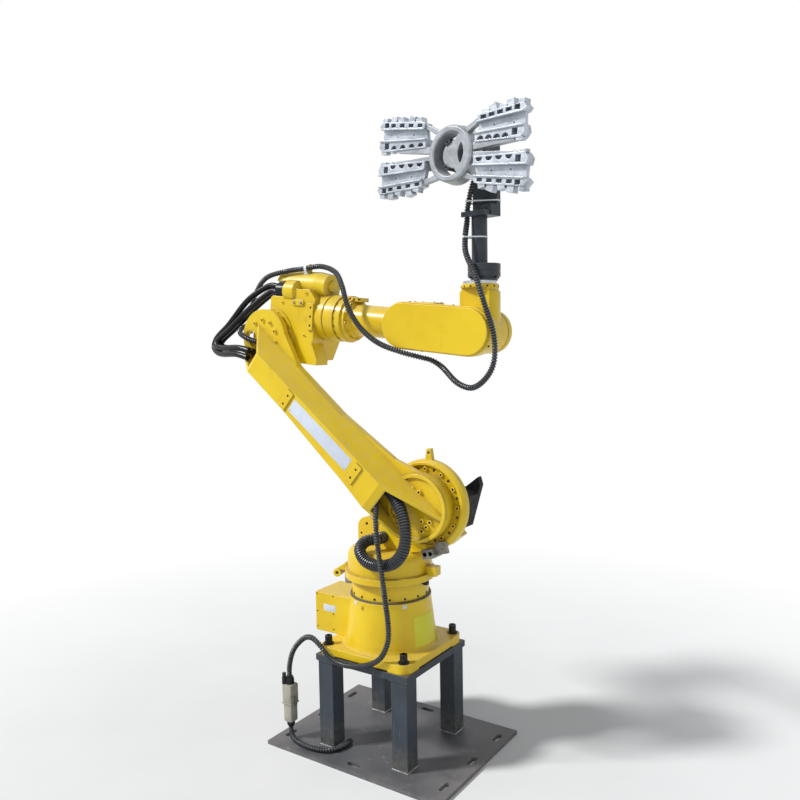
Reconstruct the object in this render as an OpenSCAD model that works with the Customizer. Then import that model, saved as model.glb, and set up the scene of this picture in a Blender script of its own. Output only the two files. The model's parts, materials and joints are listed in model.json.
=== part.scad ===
// Six-axis industrial robot arm bolted to a welded steel pedestal.
// Its gripper holds a freshly cast aluminium shot: a gate ring with four ribbed wings.
// Millimetres. +Z is up, +X is the robot's front, and the first axis is the Z axis.
// The origin lies on the floor, under the middle of the pedestal's plate.

/* [Pedestal] */
// Length of the floor plate along X
plate_l = 830; // [700:5:1100]
// Width of the floor plate along Y
plate_w = 620; // [540:5:900]
// Thickness of the floor plate
plate_t = 15; // [8:1:30]
// Outside width of a square leg tube
leg_w = 70; // [50:1:90]
// Wall of a leg tube
leg_wall = 5; // [3:0.5:10]
// Distance between leg centres, both ways
leg_pitch = 356; // [300:2:420]
// Height of the pedestal, floor to the top of its head plate
ped_h = 394; // [300:2:600]
// Side of the square head plate
head_w = 440; // [400:2:520]
// Thickness of the head plate
head_t = 25; // [12:1:40]
// Width of a floor-anchor slot
slot_w = 22; // [12:1:30]
// End-to-end length of a floor-anchor slot
slot_l = 62; // [40:1:90]
// Distance from the plate's edge to a slot's centre line
slot_edge = 42; // [25:1:70]
// Y offset of the corner slots from the middle
slot_corner_y = 210; // [150:2:260]

/* [Robot base] */
// Side of the square base flange
flange_w = 431; // [380:1:500]
// Thickness of the base flange
flange_t = 36; // [20:1:60]
// Corner radius of the base flange
flange_r = 42; // [20:1:60]
// Distance between the holding-down bolts, both ways
bolt_pitch = 365; // [320:1:400]
// Diameter of a bolt hole
bolt_hole_d = 22; // [14:0.5:30]
// Half width of the relief between the flange's corner feet
foot_gap = 128; // [100:1:140]
// Height of the relief under the flange
foot_lift = 6; // [3:0.5:10]
// Radius of the base cone at its foot
cone_r1 = 186; // [150:1:210]
// Radius of the base cone at its top
cone_r2 = 166; // [130:1:190]
// Height of the robot base, flange underside to first-axis seam
base_h = 231; // [180:1:300]
// Length of the rear connector box behind the first axis
box_x = 330; // [230:1:380]
// Width of the rear connector box
box_w = 168; // [100:2:240]
// Height of the rear connector box
box_h = 165; // [100:2:200]

/* [Turret] */
// Running gap at each joint seam
seam = 0.5; // [0.2:0.1:0.9]
// Radius of the turret's lower ring
ring_r = 156; // [120:1:164]
// Height of the lower ring
ring_h = 76; // [60:1:130]
// Radius of the turret's lip
lip_r = 184; // [165:1:220]
// Thickness of the lip
lip_t = 26; // [14:1:40]
// Radius of the turret's bowl
bowl_r = 172; // [140:1:183]
// Height of the bowl above the lip
bowl_h = 92; // [60:1:130]
// Rounding of the bowl's shoulder
bowl_fillet = 34; // [10:1:50]
// Reach of the two stop lugs from the first axis
lug_x = 245; // [225:1:260]

/* [Second axis] */
// Distance of the second axis in front of the first
j2_x = 222; // [150:1:300]
// Height of the second axis above the pedestal head
j2_h = 628; // [560:1:720]
// Radius of the drum around the second axis
drum_r = 174; // [150:1:190]
// Y of the drum's near rim
drum_y0 = -78; // [-100:1:-60]
// Y of the drum's far end
drum_y1 = 40; // [20:1:90]
// Pitch circle radius of the drum's flange bolts
drum_bolt_r = 139; // [120:1:150]

/* [Lower arm] */
// Distance from the second to the third axis
arm_len = 1002; // [800:2:1300]
// Lean of the lower arm behind the vertical, as stored
arm_lean = 49.5; // [0:0.5:65]
// Y of the arm's back face, beside the joints
arm_y = -110; // [-150:1:-90]
// Thickness of the arm's back plate
arm_plate_t = 25; // [15:1:40]
// Depth of the arm from its back face to its narrow outer face
arm_depth = 125; // [90:1:160]
// Wall of the arm casting
arm_wall = 12; // [6:1:20]
// Radius of the arm's cup at the second axis
cup2_r = 130; // [110:1:150]
// Radius of the arm's cup at the third axis
cup3_r = 118; // [100:1:125]

/* [Forearm] */
// Dip of the forearm below the horizontal, as stored
fore_dip = 6; // [-20:0.5:20]
// Offset of the forearm's roll axis above the third axis
fore_off = 104; // [60:1:200]
// Distance from the third to the fifth axis along the forearm
fore_len = 959; // [800:1:1300]
// Half width of the elbow casting
elbow_hw = 92; // [70:1:105]
// X of the roll seam from the third axis
j4_x = 318; // [260:1:400]
// Radius of the roll-seam rings
j4_r = 95; // [70:1:110]
// Radius of the forearm tube
tube_r = 63; // [45:1:80]
// Length of the wrist housing back from the fifth axis
hous_l = 374; // [300:1:420]
// Distance of the housing cover's near face from the arm's middle
cover_y = 110; // [95:1:125]
// Radius of the wrist housing's round ends
hous_r = 90; // [70:1:105]

/* [Wrist and tool] */
// Distance from the fifth axis to the tool faceplate
wrist_len = 185; // [140:1:240]
// Radius of the wrist barrel
barrel_r = 82; // [60:1:95]
// Radius of the wrist neck
neck_r = 75; // [50:1:80]
// Turn of the tool about its axis, as stored
tool_yaw = -10; // [-90:1:90]
// Diameter of the tool column
column_d = 58; // [40:1:90]
// Length of the tool column
column_l = 171; // [100:1:300]
// Offset of the tool flange from the tool axis
tool_shift = 20; // [0:1:24]

/* [Cast shot] */
// Outer radius of the gate ring
gate_r = 96; // [80:1:130]
// Inner radius of the gate ring
gate_ri = 73; // [50:1:95]
// Depth of the gate ring
gate_t = 56; // [30:1:80]
// Height of the gate ring's centre above the faceplate
gate_z = 426; // [380:1:560]
// Distance of the gate ring's near face in front of the tool axis
gate_y = 190; // [150:1:260]
// Offset of the gate ring beside the tool axis
gate_x = 20; // [0:1:40]
// Tilt of the shot in the jaws
shot_tilt = 5.5; // [-15:0.5:15]
// Radius of the biscuit that the jaws hold
biscuit_r = 42; // [30:1:56]
// Length of a wing
wing_l = 245; // [180:1:300]
// Height of a wing
wing_h = 113; // [80:1:160]
// Thickness of a wing
wing_t = 46; // [20:1:70]

/* [Hidden] */
$fn = 64;

yellow = [0.91, 0.78, 0.12];
steel_grey = [0.23, 0.27, 0.31];
black = [0.05, 0.05, 0.06];
alu = [0.75, 0.76, 0.78];
dark_grey = [0.2, 0.22, 0.24];
grey = [0.45, 0.45, 0.44];
eps = 0.01;
pads = [[-45, 248], [-55, 677]];
port_r = 30;
port_fit = 36;
stop_h = 50;
hub_r = 84;
face_t = 12;
flange_h = 60;
bracket_z = flange_h + column_l;
barrel_z = 226;
ring_end = j4_x + 66;
hous_x = fore_len - hous_l;
cheek_y = cover_y - 18;
neck_y = cheek_y - 48;
leg_h = ped_h - head_t - plate_t;
cone_z = ped_h + flange_t;
j1_z = ped_h + base_h;
lip_z = j1_z + ring_h;
bowl_z = lip_z + lip_t;
turret_top = bowl_z + bowl_h;
j2_z = ped_h + j2_h;
j3_x = j2_x - arm_len * sin(arm_lean);
j3_z = j2_z + arm_len * cos(arm_lean);
arm_near = arm_y - arm_depth;
plate_near = arm_y - arm_plate_t;
slot_x = plate_l / 2 - slot_edge;
slot_y = plate_w / 2 - slot_edge;
wing_x0 = gate_r + 8;
wing_up = 30;
runner_l = 160;
wing_low = 16;

// Radii of the fat hose, the corrugated conduit and the elbow hoses
fat_r = 23.5;
conduit_r = 11;
elbow_hose_r = 13;
// Ends that follow the pieces they meet
cuff_z = 134;
cuff_end = [
    j2_x - 22 * cos(arm_lean) - cuff_z * sin(arm_lean), plate_near - 36,
    j2_z - 22 * sin(arm_lean) + cuff_z * cos(arm_lean)
];
port_end = [
    j3_x + 14 * cos(fore_dip) + 200 * sin(fore_dip), -58,
    j3_z - 14 * sin(fore_dip) + 200 * cos(fore_dip)
];
port_up = [sin(fore_dip), 0, cos(fore_dip)];
port_lead = [-50 * cos(fore_dip), 0, 50 * sin(fore_dip)];
cuff_lead = [46 * sin(arm_lean), 0, -46 * cos(arm_lean)];
grip_end = j3_z - fore_len * sin(fore_dip) + fore_off * cos(fore_dip) + wrist_len + gate_z - 50;
shoulder_end = [140, -234, 664];
hood_x = -347;
hood_y = -240;
hood_top = 248;
hood_low = 81;
post_end = [-381, -44, 1955];
forearm_end = [215, -80, 1584];
wrist_end = [491, -95, 1779];
// Routes of the hose middles, point by point
shoulder_hose_path = [
    cuff_end + 0.006 * cuff_lead, cuff_end + cuff_lead, [186, -188, 1014], [214, -204, 950], [212, -213, 880], [168, -214, 822],
    [88, -206, 797], [24, -200, 806], [-18, -178, 838], [-20, -138, 862], [10, -96, 866], [10, drum_y0 + 24, 866]
];
conduit_shoulder_path = [
    [44, plate_near - 0.3, 1080], [44, -172, 1080], [77, -196, 1044], [101, -234, 977], [120, -247, 870],
    [138, -248, 760], shoulder_end
];
conduit_base_path = [
    shoulder_end + [0, 0, -0.3], [141.5, -223.5, 592], [138, -222, 514], [106, -233, 446], [38, -241, 408], [-60, -242, 390], [-132, -240, 404],
    [-186, -238, 444], [-226, -236, 463], [-272, -231, 450], [-326, -235, 392], [hood_x, hood_y, 320], [hood_x, hood_y, hood_top]
];
conduit_floor_path = [
    [hood_x, hood_y, hood_low], [hood_x, hood_y, 54], [-330, -250, 31], [-290, -266, plate_t + conduit_r],
    [-210, -275, plate_t + conduit_r], [-142, -254, plate_t + conduit_r], [-110, -200, plate_t + conduit_r],
    [-112, -140, plate_t + conduit_r]
];
conduit_elbow_path = [
    [-548, plate_near - 0.3, 1652], [-548, -158, 1652], [-604, -163, 1668], [-652, -157, 1689], [-686, -118, 1711],
    [-691, -60, 1737], [-706, -40, 1784], [-664, -42, 1870], [-566, -75, 1928], [-461, -56, 1950], post_end
];
conduit_forearm_path = [
    post_end + [0.3, 0, 0], [-301, -32, 1960], [-206, -56, 1928], [-140, -98, 1866], [-102, -116, 1790], [-40, -127, 1708],
    [50, -133, 1644], [148, -123, 1607], forearm_end
];
conduit_wrist_path = [
    forearm_end + [0.3, 0.2, -0.1], [248.5, -58.5, 1572.5], [290, -56, 1549], [376, -90, 1492], [440, -101, 1475], [492, -110, 1499], [531, -115, 1546],
    [543, -115, 1602], [530, -104, 1680], wrist_end
];
conduit_tool_path = [
    wrist_end + [-0.1, 0, 0.3], [452, -86, 1878], [404, -66, 1960], [391, -46, 2020], [387, -24, 2080],
    [388, -22, 2120], [408, -33, 2180], [424, -40, 2214], [424, -40, grip_end - 0.3]
];
elbow_hose_top_path = [
    port_end + 15.3 * port_up, port_end + 1.35 * port_lead + 15.3 * port_up, [-676, -82, 1842], [-780, -110, 1732], [-836, -126, 1674],
    [-842, -136, 1630], [-780, -160, 1600], [-640, -196, 1599], [-574, -198, 1588]
];
elbow_hose_near_path = [
    port_end - 7.7 * port_up + [0, -13.3, 0], port_end + 0.85 * port_lead - 7.7 * port_up + [0, -13.3, 0],
    [-640, -106, 1796], [-752, -128, 1708], [-806, -142, 1664],
    [-806, -152, 1644], [-750, -168, 1634], [-634, -190, 1631], [-570, -191, 1616]
];
elbow_hose_far_path = [
    port_end - 7.7 * port_up + [0, 13.3, 0], port_end + 0.85 * port_lead - 7.7 * port_up + [0, 13.3, 0],
    [-640, -76, 1796], [-752, -98, 1708], [-806, -112, 1664],
    [-806, -122, 1644], [-750, -139, 1634], [-634, -162, 1627], [-570, -164, 1612]
];
function arm_reach(a) = a[0] < 0 ? 22 : 8;
function arm_rise(a) = a[1] < 0 ? wing_low : wing_up;
function unit(v) = v / norm(v);
function tangent(p, i) = unit(p[min(i + 1, len(p) - 1)] - p[max(i - 1, 0)]);
function first_side(t) = unit(cross(t, abs(t[2]) < 0.9 ? [0, 0, 1] : [1, 0, 0]));
function sides(p, i) = i == 0 ? [first_side(tangent(p, 0))] :
    let (s = sides(p, i - 1), t = tangent(p, i)) concat(s, [unit(s[i - 1] - (s[i - 1] * t) * t)]);
function hose_ring(c, u, t, r) = let (v = cross(t, u)) [for (k = [0:9]) c + r * (cos(36 * k) * u + sin(36 * k) * v)];

// A round hose swept along its route
module hose(p, r) {
    n = len(p);
    s = sides(p, n - 1);
    polyhedron(
        points = [for (i = [0:n - 1]) each hose_ring(p[i], s[i], tangent(p, i), r)],
        faces = concat(
            [[for (k = [0:9]) k]],
            [for (i = [0:n - 2], k = [0:9]) [i * 10 + k, i * 10 + 10 + k, i * 10 + (k + 1) % 10]],
            [for (i = [0:n - 2], k = [0:9]) [i * 10 + (k + 1) % 10, i * 10 + 10 + k, i * 10 + 10 + (k + 1) % 10]],
            [[for (k = [9:-1:0]) (n - 1) * 10 + k]]
        ));
}

// A cylinder along Y from y0 to y1
module y_cyl(r, y0, y1) {
    translate([0, y0, 0])
        rotate([-90, 0, 0])
            cylinder(r = r, h = y1 - y0);
}

// A cylinder along X from x0 to x1
module x_cyl(r, x0, x1) {
    translate([x0, 0, 0])
        rotate([0, 90, 0])
            cylinder(r = r, h = x1 - x0);
}

// A profile of [radius, height] points turned about the X axis
module x_turn() {
    rotate([0, 90, 0])
        rotate_extrude()
            children();
}

// A profile of [radius, height] points turned about the Y axis
module y_turn() {
    rotate([-90, 0, 0])
        rotate_extrude()
            children();
}

// Points of an arc about c from angle a0 to a1
function arc(c, r, a0, a1, n) = [for (i = [0:n]) c + r * [cos(a0 + (a1 - a0) * i / n), sin(a0 + (a1 - a0) * i / n)]];

// A block between two corners
module block(a, b) {
    translate(a)
        cube(b - a);
}

// An XZ outline made solid from y_far towards the near side
module slab(y_far, y_near) {
    translate([0, y_far, 0])
        rotate([90, 0, 0])
            linear_extrude(y_far - y_near)
                children();
}

// The lower arm's frame: Z runs from the second to the third axis
module in_arm() {
    translate([j2_x, 0, j2_z])
        rotate([0, -arm_lean, 0])
            children();
}

// The forearm's frame: X runs along the forearm from the third axis
module in_forearm() {
    translate([j3_x, 0, j3_z])
        rotate([0, fore_dip, 0])
            children();
}

// The wrist's frame: Z is the tool axis, from the fifth axis
module in_wrist() {
    in_forearm()
        translate([fore_len, 0, fore_off])
            rotate([0, -fore_dip, 0])
                children();
}

// The tool's frame: Z is the tool axis, from the faceplate
module in_tool() {
    in_wrist()
        translate([0, 0, wrist_len])
            rotate([0, 0, tool_yaw])
                children();
}

// The cast shot's frame: Y is the gate ring's axis, from its near face
module in_shot() {
    in_tool()
        translate([gate_x, -gate_y, gate_z])
            rotate([0, shot_tilt, 0])
                children();
}

// A square with round corners, centred
module round_square(w, r) {
    square([w, w - 2 * r], center = true);
    square([w - 2 * r, w], center = true);
    for (sx = [-1, 1], sy = [-1, 1])
        translate([sx * (w / 2 - r), sy * (w / 2 - r)])
            circle(r);
}

// A slot through the floor plate
module slot(along_y) {
    rotate([0, 0, along_y ? 90 : 0])
        union() {
            block([-(slot_l - slot_w) / 2, -slot_w / 2, -1], [(slot_l - slot_w) / 2, slot_w / 2, plate_t + 1]);
            for (s = [-1, 1])
                translate([s * (slot_l - slot_w) / 2, 0, -1])
                    cylinder(d = slot_w, h = plate_t + 2);
        }
}

module base_plate() {
    color(steel_grey)
        difference() {
            block([-plate_l / 2, -plate_w / 2, 0], [plate_l / 2, plate_w / 2, plate_t]);
            for (sx = [-1, 1], y = [-slot_corner_y, 0, slot_corner_y])
                translate([sx * slot_x, y, 0])
                    slot(true);
            for (sy = [-1, 1])
                translate([0, sy * slot_y, 0])
                    slot(false);
        }
}

module leg(sx, sy) {
    color(steel_grey)
        translate([sx * leg_pitch / 2, sy * leg_pitch / 2, plate_t])
            difference() {
                block([-leg_w / 2, -leg_w / 2, 0], [leg_w / 2, leg_w / 2, leg_h]);
                block([-leg_w / 2 + leg_wall, -leg_w / 2 + leg_wall, -1],
                    [leg_w / 2 - leg_wall, leg_w / 2 - leg_wall, leg_h + 1]);
            }
}

module head_plate() {
    color(steel_grey)
        block([-head_w / 2, -head_w / 2, ped_h - head_t], [head_w / 2, head_w / 2, ped_h]);
}

module cone_solid(grow) {
    rotate_extrude()
        polygon([
            [0, cone_z - eps], [cone_r1 + 14 + grow, cone_z - eps], [cone_r1 + 4 + grow, cone_z + 5],
            [cone_r1 + grow, cone_z + 16], [cone_r2 + grow, j1_z - 20], [cone_r2 + grow, j1_z], [0, j1_z]
        ]);
}

module robot_base() {
    color(yellow)
        difference() {
            union() {
                translate([0, 0, ped_h])
                    linear_extrude(flange_t)
                        round_square(flange_w, flange_r);
                cone_solid(0);
            }
            for (sx = [-1, 1], sy = [-1, 1])
                translate([sx * bolt_pitch / 2, sy * bolt_pitch / 2, ped_h - 1])
                    cylinder(d = bolt_hole_d, h = flange_t + 2);
            block([-foot_gap, -flange_w, ped_h - 1], [foot_gap, flange_w, ped_h + foot_lift]);
            block([-flange_w, -foot_gap, ped_h - 1], [flange_w, foot_gap, ped_h + foot_lift]);
        }
}

module connector_box() {
    color(yellow)
        difference() {
            block([-box_x, -box_w / 2, cone_z], [-cone_r2 + 30, box_w / 2, cone_z + box_h]);
            cone_solid(0.3);
        }
}

// One stop lug with its cross hole
module stop_lug() {
    difference() {
        union() {
            slab(18, -18)
                polygon([
                    [bowl_r - 40, lip_z + 2], [lug_x - 34, lip_z + 2], [lug_x - 18, lip_z - 16], [lug_x - 18, lip_z + 7],
                    [lip_r + 4, bowl_z + 12], [bowl_r - 40, bowl_z + 12]
                ]);
            translate([lug_x - 18, 0, lip_z - 9])
                y_cyl(17, -24, 24);
        }
        translate([lug_x - 18, 0, lip_z - 9])
            y_cyl(7, -25, 25);
    }
}

module turret() {
    color(yellow)
        union() {
            rotate_extrude()
                polygon(concat(
                    [[0, j1_z + seam], [ring_r, j1_z + seam], [ring_r, lip_z], [lip_r, lip_z], [lip_r, bowl_z], [bowl_r, bowl_z]],
                    arc([bowl_r - bowl_fillet, turret_top - bowl_fillet], bowl_fillet, 0, 90, 8),
                    [[0, turret_top]]
                ));
            rotate([0, 0, 195])
                stop_lug();
            rotate([0, 0, 5])
                block([bowl_r - 40, -22, bowl_z - 6], [lug_x - 27, 22, bowl_z + 30]);
        }
}

// Yoke and drum that carry the second axis, on the turret's flat top
module shoulder() {
    color(yellow)
        difference() {
            union() {
                slab(drum_y1 - 2, drum_y0 + 24)
                    polygon([
                        [-38, turret_top], [bowl_r - 34, turret_top], [j2_x + 60, turret_top + 36],
                        [j2_x + 118, j2_z - 120], [j2_x, j2_z], [j2_x - 130, j2_z - 60], [-10, turret_top + 96]
                    ]);
                translate([j2_x, 0, j2_z])
                    y_turn()
                        polygon([
                            [0, drum_y1], [drum_r - 56, drum_y1], [drum_r - 10, drum_y0 + 52], [drum_r, drum_y0 + 34],
                            [drum_r, drum_y0 + 12], [drum_r - 11, drum_y0],
                            [drum_bolt_r + 14, drum_y0], [drum_bolt_r + 14, drum_y0 + 10],
                            [drum_bolt_r - 16, drum_y0 + 10], [drum_bolt_r - 16, arm_y + seam], [0, arm_y + seam]
                        ]);
                translate([j2_x + 10, 0, j2_z])
                    slab(drum_y0 + 32, drum_y0 + 14)
                        polygon([[-18, drum_r - 20], [18, drum_r - 20], [9, drum_r + 41], [-9, drum_r + 41]]);
            }
            translate([j2_x + 10, 0, j2_z + drum_r + 26])
                y_cyl(6, drum_y0, drum_y1);
            translate([j2_x, 0, j2_z])
                for (a = [15:30:345])
                    rotate([0, a, 0])
                        translate([drum_bolt_r, 0, 0])
                            y_cyl(6, drum_y0 - 1, drum_y0 + 22);
        }
}

module j1_motor_housing() {
    color(yellow)
        translate([-92, 0, turret_top])
            difference() {
                union() {
                    block([-46, -30, 0], [46, 88, 66]);
                    translate([0, 0, 66])
                        y_cyl(46, -30, 88);
                }
                for (x = [-28, 28])
                    translate([x, 0, 42])
                        y_cyl(5, -31, -10);
                translate([0, 0, 84])
                    y_cyl(6, -31, -10);
            }
}

module stop_cylinder() {
    color(grey)
        rotate([0, 0, 195])
            translate([lug_x - 65, 0, lip_z - stop_h])
                cylinder(r = 20, h = stop_h);
}

module j2_motor() {
    color(black)
        translate([j2_x, 0, j2_z])
            rotate([0, 15, 0])
                union() {
                    y_cyl(84, drum_y1, drum_y1 + 21);
                    slab(drum_y1 + 150, drum_y1 + 20)
                        polygon([[-75, -104], [-67, -112], [62, -112], [89, -104], [92, 36], [-75, 36]]);
                    slab(drum_y1 + 150, drum_y1 + 122)
                        polygon([[24, 35], [92, 35], [93, 72], [75, 102]]);
                    translate([8, 0, -36])
                        y_cyl(56, drum_y1 + 149, drum_y1 + 176);
                }
}

module valve_block() {
    color(grey)
        translate([j2_x + 26, drum_y0 - 0.3, j2_z - drum_r - 4])
            rotate([0, -14, 0])
                difference() {
                    union() {
                        block([-22, -36, -20], [30, 0, 16]);
                        block([-22, 0, -20], [30, 24, -12]);
                    }
                    for (x = [-9, 17])
                        translate([x, 0, -2])
                            y_cyl(8.5, -37, -20);
                }
}

module valve_plate() {
    color(grey)
        translate([j2_x + 26, drum_y0 - 0.3, j2_z - drum_r - 4])
            rotate([0, -14, 0])
                block([30.2, -14, -12], [80, 0, 34]);
}

// The lower arm's flat outline in its own plane
module arm_outline(inset) {
    circle(cup2_r - inset);
    translate([0, arm_len])
        circle(cup3_r - inset);
    polygon([
        [-cup2_r + inset, 0], [cup2_r - 8 - inset, 40], [68 - inset, 190], [34 - inset, 480], [30 - inset, 780],
        [cup3_r - 6 - inset, arm_len - 20], [-cup3_r + inset, arm_len], [-108 + inset, 900], [-102 + inset, 657],
        [-110 + inset, 266], [-120 + inset, 120]
    ]);
}

// Space in front of the slanted wall; out moves the plane outwards
module front_of_slant(out) {
    translate([6 + out, arm_near, 180])
        rotate([0, -1.6, 0])
            rotate([0, 0, -24])
                block([0, -300, -900], [500, 600, 1500]);
}

// Space cut away at the two mouths of the arm
module mouths() {
    translate([-300, arm_near - eps, 140])
        rotate([-70, 0, 0])
            block([0, -400, -400], [600, 400, 0]);
    translate([-300, arm_near - eps, arm_len - 92])
        rotate([56, 0, 0])
            block([0, -400, 0], [600, 400, 400]);
}

module lower_arm() {
    color(yellow)
        in_arm()
            difference() {
                union() {
                    slab(arm_y, plate_near)
                        arm_outline(0);
                    difference() {
                        slab(plate_near + 1, arm_near)
                            arm_outline(0);
                        difference() {
                            slab(plate_near + 2, arm_near + arm_wall)
                                arm_outline(arm_wall);
                            front_of_slant(-arm_wall * 1.1);
                        }
                        front_of_slant(0);
                        mouths();
                    }
                    difference() {
                        y_cyl(cup2_r - 2, plate_near - 10, plate_near + 1);
                        y_cyl(cup2_r - 15, plate_near - 11, plate_near);
                    }
                    for (p = pads)
                        block([p[0] - 43, arm_near - 6, p[1] - 18], [p[0] + 43, arm_near + 2, p[1] + 18]);
                }
                translate([-48, 0, arm_len + 58])
                    y_cyl(port_r, plate_near - 1, arm_y + 1);
                for (p = pads, dx = [-21, 21])
                    translate([p[0] + dx, 0, p[1]])
                        y_cyl(5, arm_near - 7, arm_near + 14);
            }
}

module hose_cuff() {
    color(black)
        in_arm()
            translate([-22, plate_near - 36, cuff_z])
                union() {
                    cylinder(r = 28, h = 46);
                    block([-16, 0, 6], [16, 36, 40]);
                }
}

module elbow_casting() {
    color(yellow)
        in_forearm()
            difference() {
                union() {
                    y_cyl(hub_r, arm_y + seam, -60);
                    slab(elbow_hw, -elbow_hw)
                        polygon([
                            [-8, -30], [60, -84], [200, -84], [236, 10], [236, 176], [204, 212], [40, 212], [-8, 168]
                        ]);
                    slab(-20, -elbow_hw)
                        polygon([[120, -40], [176, -94], [262, -94], [262, -70], [226, 0]]);
                    translate([0, -4, barrel_z])
                        x_turn()
                            polygon([[0, -14], [50, -14], [60, 0], [62, 196], [54, 250], [0, 250]]);
                    translate([250, -4, barrel_z + 4])
                        x_turn()
                            polygon([[0, -2], [26, -2], [24, 8], [0, 12]]);
                    translate([0, 0, fore_off])
                        x_turn()
                            polygon([
                                [0, 180], [j4_r, 180], [j4_r, 274], [j4_r - 4, 276], [j4_r - 4, 281], [j4_r, 283],
                                [j4_r, j4_x], [0, j4_x]
                            ]);
                    translate([0, -58, 200])
                        x_turn()
                            polygon([[0, 62], [44, 62], [48, 68], [48, 120], [0, 150]]);
                    translate([140, -19.7, barrel_z + 40])
                        cylinder(r = 9, h = 52);
                    slab(-elbow_hw + 1, -elbow_hw - 8)
                        polygon([[208, 48], [234, 48], [234, 158], [208, 158]]);
                    slab(-elbow_hw + 1, -elbow_hw - 6)
                        union() {
                            polygon([[126, 144], [168, 144], [168, 168], [126, 168]]);
                            translate([126, 156])
                                circle(12);
                            translate([168, 156])
                                circle(12);
                        }
                    difference() {
                        y_cyl(hub_r + 44, -elbow_hw - 5, -elbow_hw + 1);
                        y_cyl(hub_r + 12, -elbow_hw - 6, -elbow_hw + 2);
                        block([-300, -200, -300], [0, 0, 300]);
                    }
                }
                translate([0, -58, 200])
                    union() {
                        x_cyl(port_fit, 50, 76);
                        x_cyl(port_fit + 5, -80, 62);
                    }
                for (z = [66, 103, 140])
                    translate([221, 0, z])
                        y_cyl(5, -elbow_hw - 10, -elbow_hw + 16);
            }
}

module hose_port() {
    color(black)
        in_forearm()
            translate([0, -58, 200])
                x_cyl(port_fit - 0.3, 14, 76);
}

module elbow_motor() {
    color(black)
        in_forearm()
            union() {
                block([26, elbow_hw, 40], [158, elbow_hw + 110, 172]);
                translate([92, 0, 106])
                    y_cyl(54, elbow_hw + 110, elbow_hw + 132);
            }
}

module roll_ring() {
    color(yellow)
        in_forearm()
            translate([0, 0, fore_off])
                difference() {
                    union() {
                        x_turn()
                            polygon([
                                [0, j4_x + seam], [j4_r, j4_x + seam], [j4_r, j4_x + 12], [j4_r - 5, j4_x + 13],
                                [j4_r - 5, j4_x + 25], [j4_r, j4_x + 26], [j4_r, j4_x + 48], [j4_r - 8, j4_x + 51],
                                [j4_r - 8, ring_end], [0, ring_end]
                            ]);
                        translate([ring_end, -26, 74])
                            block([-14, 0, 0], [40, 48, 16]);
                    }
                    for (x = [2, 26])
                        translate([ring_end + x, 0, 82])
                            y_cyl(5, -30, 30);
                }
}

module forearm_tube() {
    color(yellow)
        in_forearm()
            translate([0, 0, fore_off])
                x_turn()
                    polygon([
                        [0, ring_end], [tube_r + 10, ring_end], [tube_r, ring_end + 14], [tube_r, hous_x + 60], [0, hous_x + 60]
                    ]);
}

// The wrist housing's outline, round at both ends
module housing_outline(inset) {
    translate([hous_x + hous_r, fore_off])
        circle(hous_r - inset);
    translate([fore_len, fore_off])
        circle(hous_r - inset);
    translate([hous_x + hous_r, fore_off - hous_r + inset])
        square([fore_len - hous_x - hous_r, 2 * (hous_r - inset)]);
}

module wrist_housing() {
    color(yellow)
        in_forearm()
            union() {
                slab(-tube_r - 2, -cheek_y)
                    housing_outline(0);
                slab(-neck_y, -cheek_y + 12)
                    intersection() {
                        housing_outline(0);
                        translate([hous_x + 60, fore_off - 200])
                            square([900, 400]);
                    }
                slab(neck_r - 5, -neck_y - 2)
                    polygon([
                        [hous_x + 60, fore_off - 72], [fore_len - barrel_r - 18, fore_off - 78], [fore_len - barrel_r - 18, fore_off - 4],
                        [fore_len - barrel_r - 80, fore_off + 76], [hous_x + 60, fore_off + 72]
                    ]);
            }
}

module housing_cover() {
    color(yellow)
        in_forearm()
            slab(-cheek_y, -cover_y)
                housing_outline(6);
}

module top_cover() {
    color(yellow)
        in_forearm()
            translate([hous_x + 140, 0, fore_off + 75])
                rotate([0, -2.15, 0])
                    block([-50, -34, 0.5], [50, 34, 18]);
}

module wrist_barrel() {
    color(yellow)
        in_wrist()
            union() {
                y_turn()
                    polygon([
                        [0, -neck_y + seam], [barrel_r, -neck_y + seam], [barrel_r, 60], [barrel_r - 4, 64], [barrel_r - 4, 74], [0, 74]
                    ]);
                difference() {
                    rotate_extrude()
                        polygon([
                            [0, 0], [neck_r, 0], [neck_r, wrist_len - 40], [neck_r - 6, wrist_len - 34],
                            [neck_r - 6, wrist_len - face_t], [0, wrist_len - face_t]
                        ]);
                    block([-200, -200, -1], [200, -neck_y + seam, wrist_len - face_t - 13]);
                }
            }
}

module wrist_end_cap() {
    color(yellow)
        in_wrist()
            difference() {
                y_turn()
                    polygon([[0, 74], [barrel_r, 74], [barrel_r, 96], [barrel_r - 10, 104], [0, 104]]);
                cylinder(r = neck_r + 0.3, h = wrist_len);
            }
}

module faceplate() {
    color(alu)
        in_wrist()
            translate([0, 0, wrist_len - face_t + seam])
                cylinder(r = 62, h = face_t - seam);
}

module tool_flange() {
    color(dark_grey)
        in_tool()
            translate([tool_shift, 0, 0])
                rotate_extrude()
                    polygon([
                        [0, 0], [50, 0], [50, 14], [60, 14], [60, 32], [58, 33], [58, 35], [60, 36], [60, flange_h], [0, flange_h]
                    ]);
}

module tool_column() {
    color(dark_grey)
        in_tool()
            translate([0, 0, flange_h])
                cylinder(d = column_d, h = column_l);
}

module tool_bracket() {
    color(dark_grey)
        in_tool()
            difference() {
                union() {
                    block([-45, -50, bracket_z], [62, 40, bracket_z + 18]);
                    block([-46, 20, bracket_z], [66, 40, gate_z + 56]);
                    block([20, -16, bracket_z], [66, 40, bracket_z + 40]);
                }
                translate([44, 0, bracket_z + 20])
                    y_cyl(7, -17, 41);
                block([-47, -41, bracket_z - 1], [-20, 19, bracket_z + 19]);
            }
}

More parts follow.
